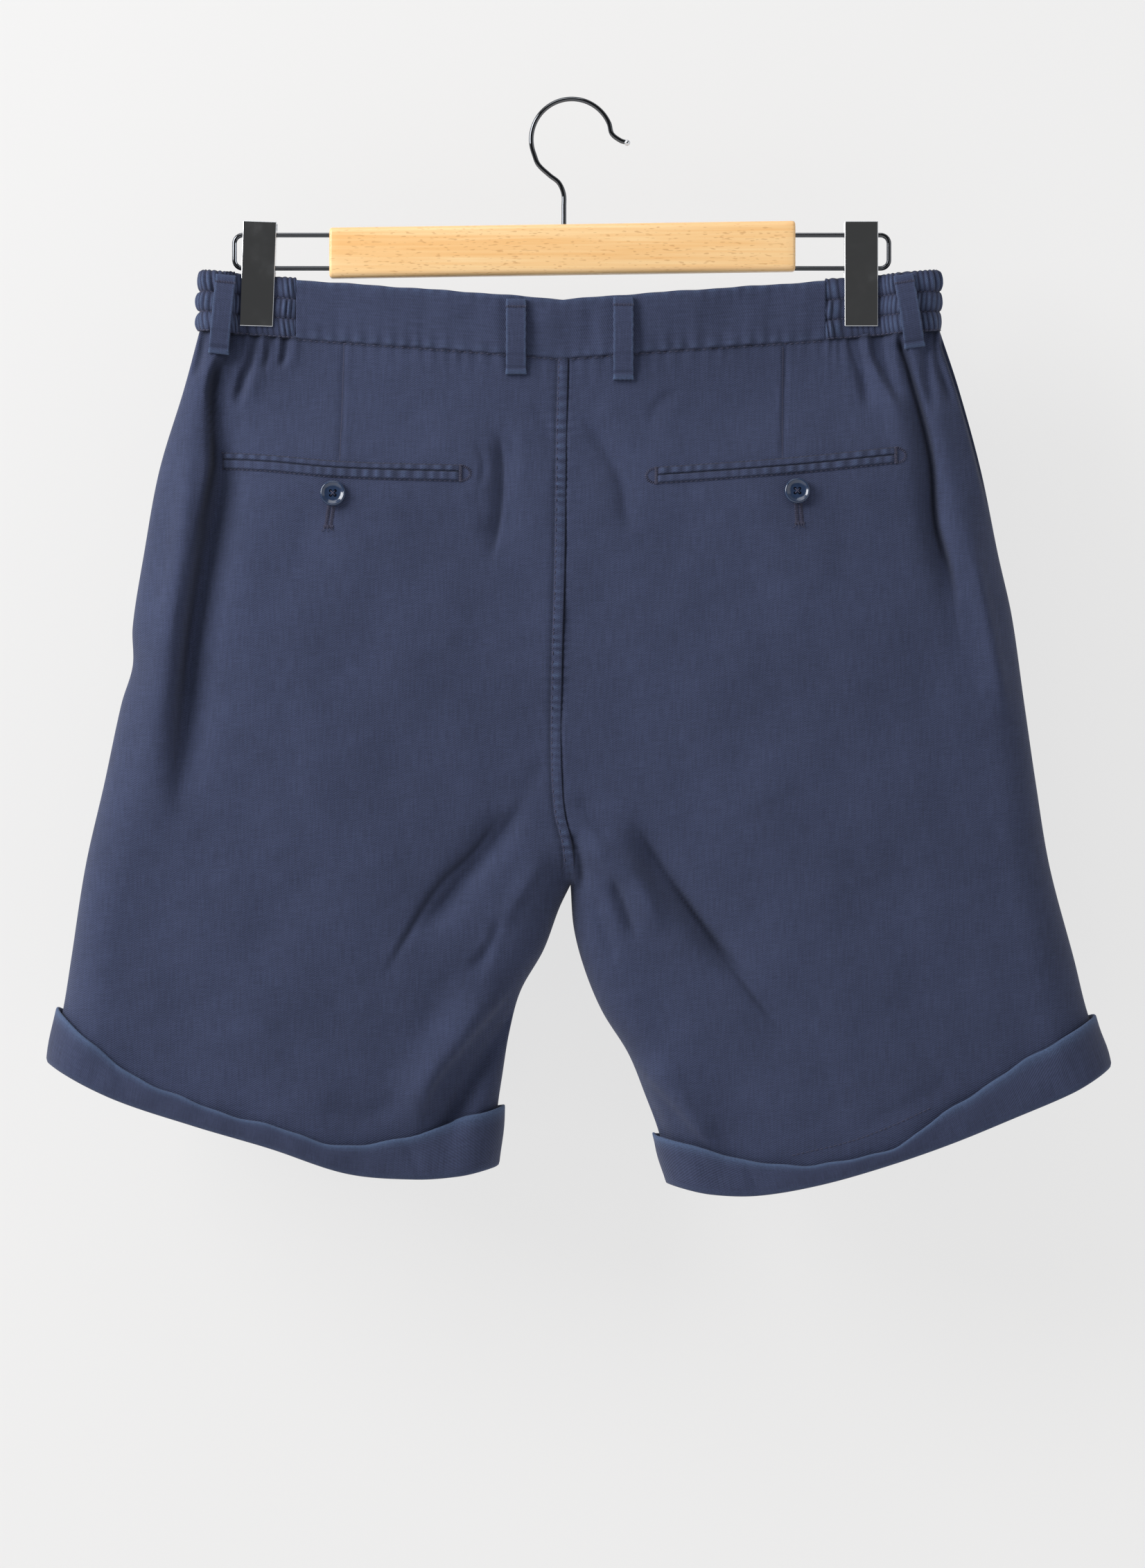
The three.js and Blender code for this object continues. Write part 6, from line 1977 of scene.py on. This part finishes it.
@dataclass
class Hanger:
    """Beech bar with a chrome hook, two side wires and a pair of gripping plates on each."""

    shop: Workshop
    length: float = 272.0
    height: float = 29.4
    depth: float = 12.0
    tilt: float = 0.0147
    centre: tuple[float, float] = (-5.5, -86.8)
    corner: float = 3.6
    end_round: float = 1.8
    wire: float = 1.4
    hook_radius: float = 23.7
    wire_z: tuple[float, float] = (-78.2, -97.6)
    wire_bend: float = 4.9
    wires: tuple[tuple[str, float, float], ...] = (("left", -142.2, -197.1), ("right", 131.2, 185.3))
    clips: tuple[tuple[str, float, float], ...] = (("left", -182.2, 0.035), ("right", 168.9, 0.0))
    plate_width: float = 19.6
    plate: float = 1.2
    plate_z: tuple[float, float] = (-70.6, -132.0)
    jaw: float = 4.2

    def bar(self) -> None:
        """The bar, its long edges and ends rounded."""
        h, d, r = self.height / 2, self.depth / 2, self.corner
        outline = np.concatenate([
            np.stack([cy + r * np.cos(a), cz + r * np.sin(a)], axis=-1)
            for start, cy, cz in ((0, d - r, h - r), (90, r - d, h - r), (180, r - d, r - h),
                                  (270, d - r, r - h))
            for a in [np.radians(start + np.arange(0, 91, 15))]])
        ends = np.array([0, 0.06, 0.25, 0.6, 1.1, self.end_round])
        inset = self.end_round - np.sqrt(self.end_round ** 2 - (self.end_round - ends) ** 2)
        x = np.concatenate([ends, np.linspace(6, self.length - 6, 40), self.length - ends[::-1]])
        x = x - self.length / 2
        shrink = np.concatenate([inset, np.zeros(40), inset[::-1]])[:, None, None]
        sections = np.zeros((len(x), len(outline), 3))
        sections[..., 0] = x[:, None] + self.centre[0]
        sections[..., 1:] = outline - shrink * outline / np.array([d, h])
        sections[..., 2] += x[:, None] * self.tilt + self.centre[1]
        piece = ring("beech_bar", sections, np.zeros((len(x), len(outline) + 1, 2)), False)
        piece.data.set_sharp_from_angle(angle=math.radians(60))
        dress(piece, self.shop.finishes.beech, "beech", "hanger_bar")

    def hook(self) -> None:
        """The hook: most of a circle, a flicked tip with a ball and an offset stem."""
        drop = self.hook_radius - self.wire
        arc = [(self.hook_radius * math.cos(a), self.hook_radius * math.sin(a) - drop)
               for a in np.radians(np.arange(8, 205, 15))]
        places = ((31.5, -23.9), (28.4, -22.9), *arc, (-19.5, -37), (-13, -43.2), (-7.6, -47.6),
                  (-4.8, -54), (-4.6, -62), (-4.6, -72.2))
        x, z = along(places, np.linspace(0, 1, 150))
        self.shop.bend("hook_wire", [np.stack([x, 0 * x, z], axis=-1)], self.wire, 20, "hook")
        ball = bmesh.new()
        bmesh.ops.create_uvsphere(ball, u_segments=24, v_segments=16, radius=1.9 * MM)
        bmesh.ops.translate(ball, verts=ball.verts, vec=(32.3 * MM, 0, -24.2 * MM))
        piece = worked_object("hook_ball", ball)
        piece.data.shade_smooth()
        dress(piece, self.shop.finishes.chrome, "chrome")

    def side_wires(self) -> None:
        """The wires that leave the bar's ends, turn and come back."""
        (top, bottom), bend = self.wire_z, self.wire_bend
        quarter = np.radians(np.arange(90, -1, -7.5))
        for side, start, end in self.wires:
            sign = math.copysign(1, end)
            points = [(start - sign * 3, top), (mix(start, end, 0.5), top)]
            for middle, angle in ((top - bend, quarter), (bottom + bend, -quarter[::-1])):
                points += [(end + sign * bend * (math.cos(a) - 1), middle + bend * math.sin(a))
                           for a in angle]
            points += [(mix(start, end, 0.5), bottom), (start - sign * 3, bottom)]
            line = np.array([(x, 0.0, z) for x, z in points])
            self.shop.bend(f"side_wire_{side}", [line], self.wire, 16, f"wire_{side}")

    def plates(self) -> None:
        """The four gripping plates: pressed steel with rolled edges, a boss between the wires inside."""
        (high, low), (top, bottom) = self.wire_z, self.plate_z
        jaw, clear, half = self.jaw, self.wire + 0.4, self.plate_width / 2
        over = high + clear + self.plate
        outline = ((jaw + self.plate, top), (jaw + self.plate, bottom), (jaw, bottom), (jaw, low - clear),
                   (clear, low - clear), (clear, low + clear), (0.15, low + clear), (0.15, high - clear),
                   (clear, high - clear), (clear, over), (jaw, over), (jaw, top))
        for side, x, tilt in self.clips:
            place = Matrix.Translation((x * MM, 0, high * MM)) @ Matrix.Rotation(tilt, 4, "Y")
            for face in Face:
                work = bmesh.new()
                near, far = ([work.verts.new((side_x * MM, face.value * y * MM, (z - high) * MM))
                              for y, z in outline] for side_x in (-half, half))
                work.faces.new(near)
                work.faces.new(far[::-1])
                for i in range(len(outline)):
                    work.faces.new([near[i], near[i - 1], far[i - 1], far[i]])
                bmesh.ops.recalc_face_normals(work, faces=work.faces)
                piece = worked_object(f"clip_plate_{side}_{face.name.lower()}", work)
                bevel = piece.modifiers.new("rolled_edge", "BEVEL")
                bevel.width, bevel.segments, bevel.harden_normals = 0.5 * MM, 3, True
                bevel.limit_method = "ANGLE"
                piece.data = evaluated(piece, bevel)
                piece.data.transform(place)
                dress(piece, self.shop.finishes.chrome, "chrome", f"clip_{side}_{face.name.lower()}")

    def build(self) -> None:
        """Makes the whole hanger."""
        self.bar()
        self.hook()
        self.side_wires()
        self.plates()


@dataclass
class Studio:
    """Pale wall and floor, soft light from the upper left and a camera square to the wall."""

    finishes: Finishes
    distance: float = 2.6
    frame_height: float = 0.9165
    sensor: float = 36.0
    aim: tuple[float, float] = (0.0004, -0.399)
    wall_y: float = 0.1
    floor_z: float = -1.25
    bend: float = 0.3

    def build(self) -> None:
        """Makes the backdrop, the lights and the camera."""
        self.backdrop()
        self.lights()
        self.room()
        self.camera()

    def backdrop(self) -> None:
        """One sheet: a wall that bends into a floor."""
        y, z = self.wall_y - self.bend, self.floor_z + self.bend
        bent = [(y + self.bend * math.cos(a), z - self.bend * math.sin(a))
                for a in np.radians(range(0, 91, 6))]
        profile = [(self.wall_y, 2.2), *bent, (-4.0, self.floor_z)]
        n = len(profile)
        mesh = bpy.data.meshes.new("backdrop")
        mesh.from_pydata([(x, y, z) for x in (-4.0, 4.0) for y, z in profile], [],
                         [(i, i + 1, n + i + 1, n + i) for i in range(n - 1)])
        mesh.shade_smooth()
        mesh.materials.append(self.finishes.wall)
        link(mesh, "backdrop")

    def lights(self) -> None:
        """Soft boxes at the left, right and top."""
        for name, place, size, power in (("key", (-1.9, -1.15, 0.75), 1.4, 64.0),
                                         ("fill", (2.0, -1.5, 0.1), 1.8, 7.0),
                                         ("top", (-0.3, -1.0, 1.5), 1.3, 12.0)):
            lamp = bpy.data.lights.new(name, "AREA")
            lamp.shape, lamp.size, lamp.energy = "SQUARE", size, power
            holder = link(lamp, name)
            holder.location = place
            towards = Vector((0.0, 0.0, -0.4)) - Vector(place)
            holder.rotation_euler = towards.to_track_quat("-Z", "Y").to_euler()

    def room(self) -> None:
        """World light: pale round the wall and dark towards the camera, which chrome shows as charcoal."""
        world = bpy.data.worlds.new("room")
        world.use_nodes = True
        add = partial(add_node, world.node_tree)
        way = add("ShaderNodeTexCoord").outputs["Generated"]
        front = add("ShaderNodeVectorMath", {0: way, 1: (0.0, -0.97, 0.2)}, operation="DOT_PRODUCT")
        share = add("ShaderNodeMapRange", {"Value": front, "From Min": 0.1, "From Max": 0.9},
                    interpolation_type="SMOOTHSTEP")
        colour = add("ShaderNodeMix", {0: share, 6: linear("#f2f4f8"), 7: linear("#666665")},
                     data_type="RGBA")
        feed(world.node_tree, world.node_tree.nodes["Background"], {"Color": colour, "Strength": 0.45})
        bpy.context.scene.world = world

    def camera(self) -> None:
        """The camera, level and square to the wall."""
        lens = bpy.data.cameras.new("camera")
        lens.sensor_width = self.sensor
        lens.lens = self.sensor * self.distance / self.frame_height
        holder = link(lens, "camera")
        holder.location = (self.aim[0], -self.distance, self.aim[1])
        holder.rotation_euler = (math.pi / 2, 0, 0)
        bpy.context.scene.camera = holder
        bpy.context.scene.view_settings.view_transform = "Standard"


def main() -> None:
    """Builds the camera and light, then each sub-assembly."""
    logging.basicConfig(level=logging.INFO, format="%(name)s %(message)s")
    finishes = Finishes()
    Studio(finishes).build()
    shop = Workshop(finishes, StitchTree(), WireTree())
    panels = LegPanels(shop)
    panels.build()
    panels.sew()
    TurnUps(shop).build()
    Waist(shop).build()
    for welt in WELTS:
        welt.build(shop)
    for button in BUTTONS:
        button.build(shop)
    Buttonholes(shop).build()
    FrontDetails(shop).build()
    Hanger(shop).build()


if __name__ == "__main__":
    main()
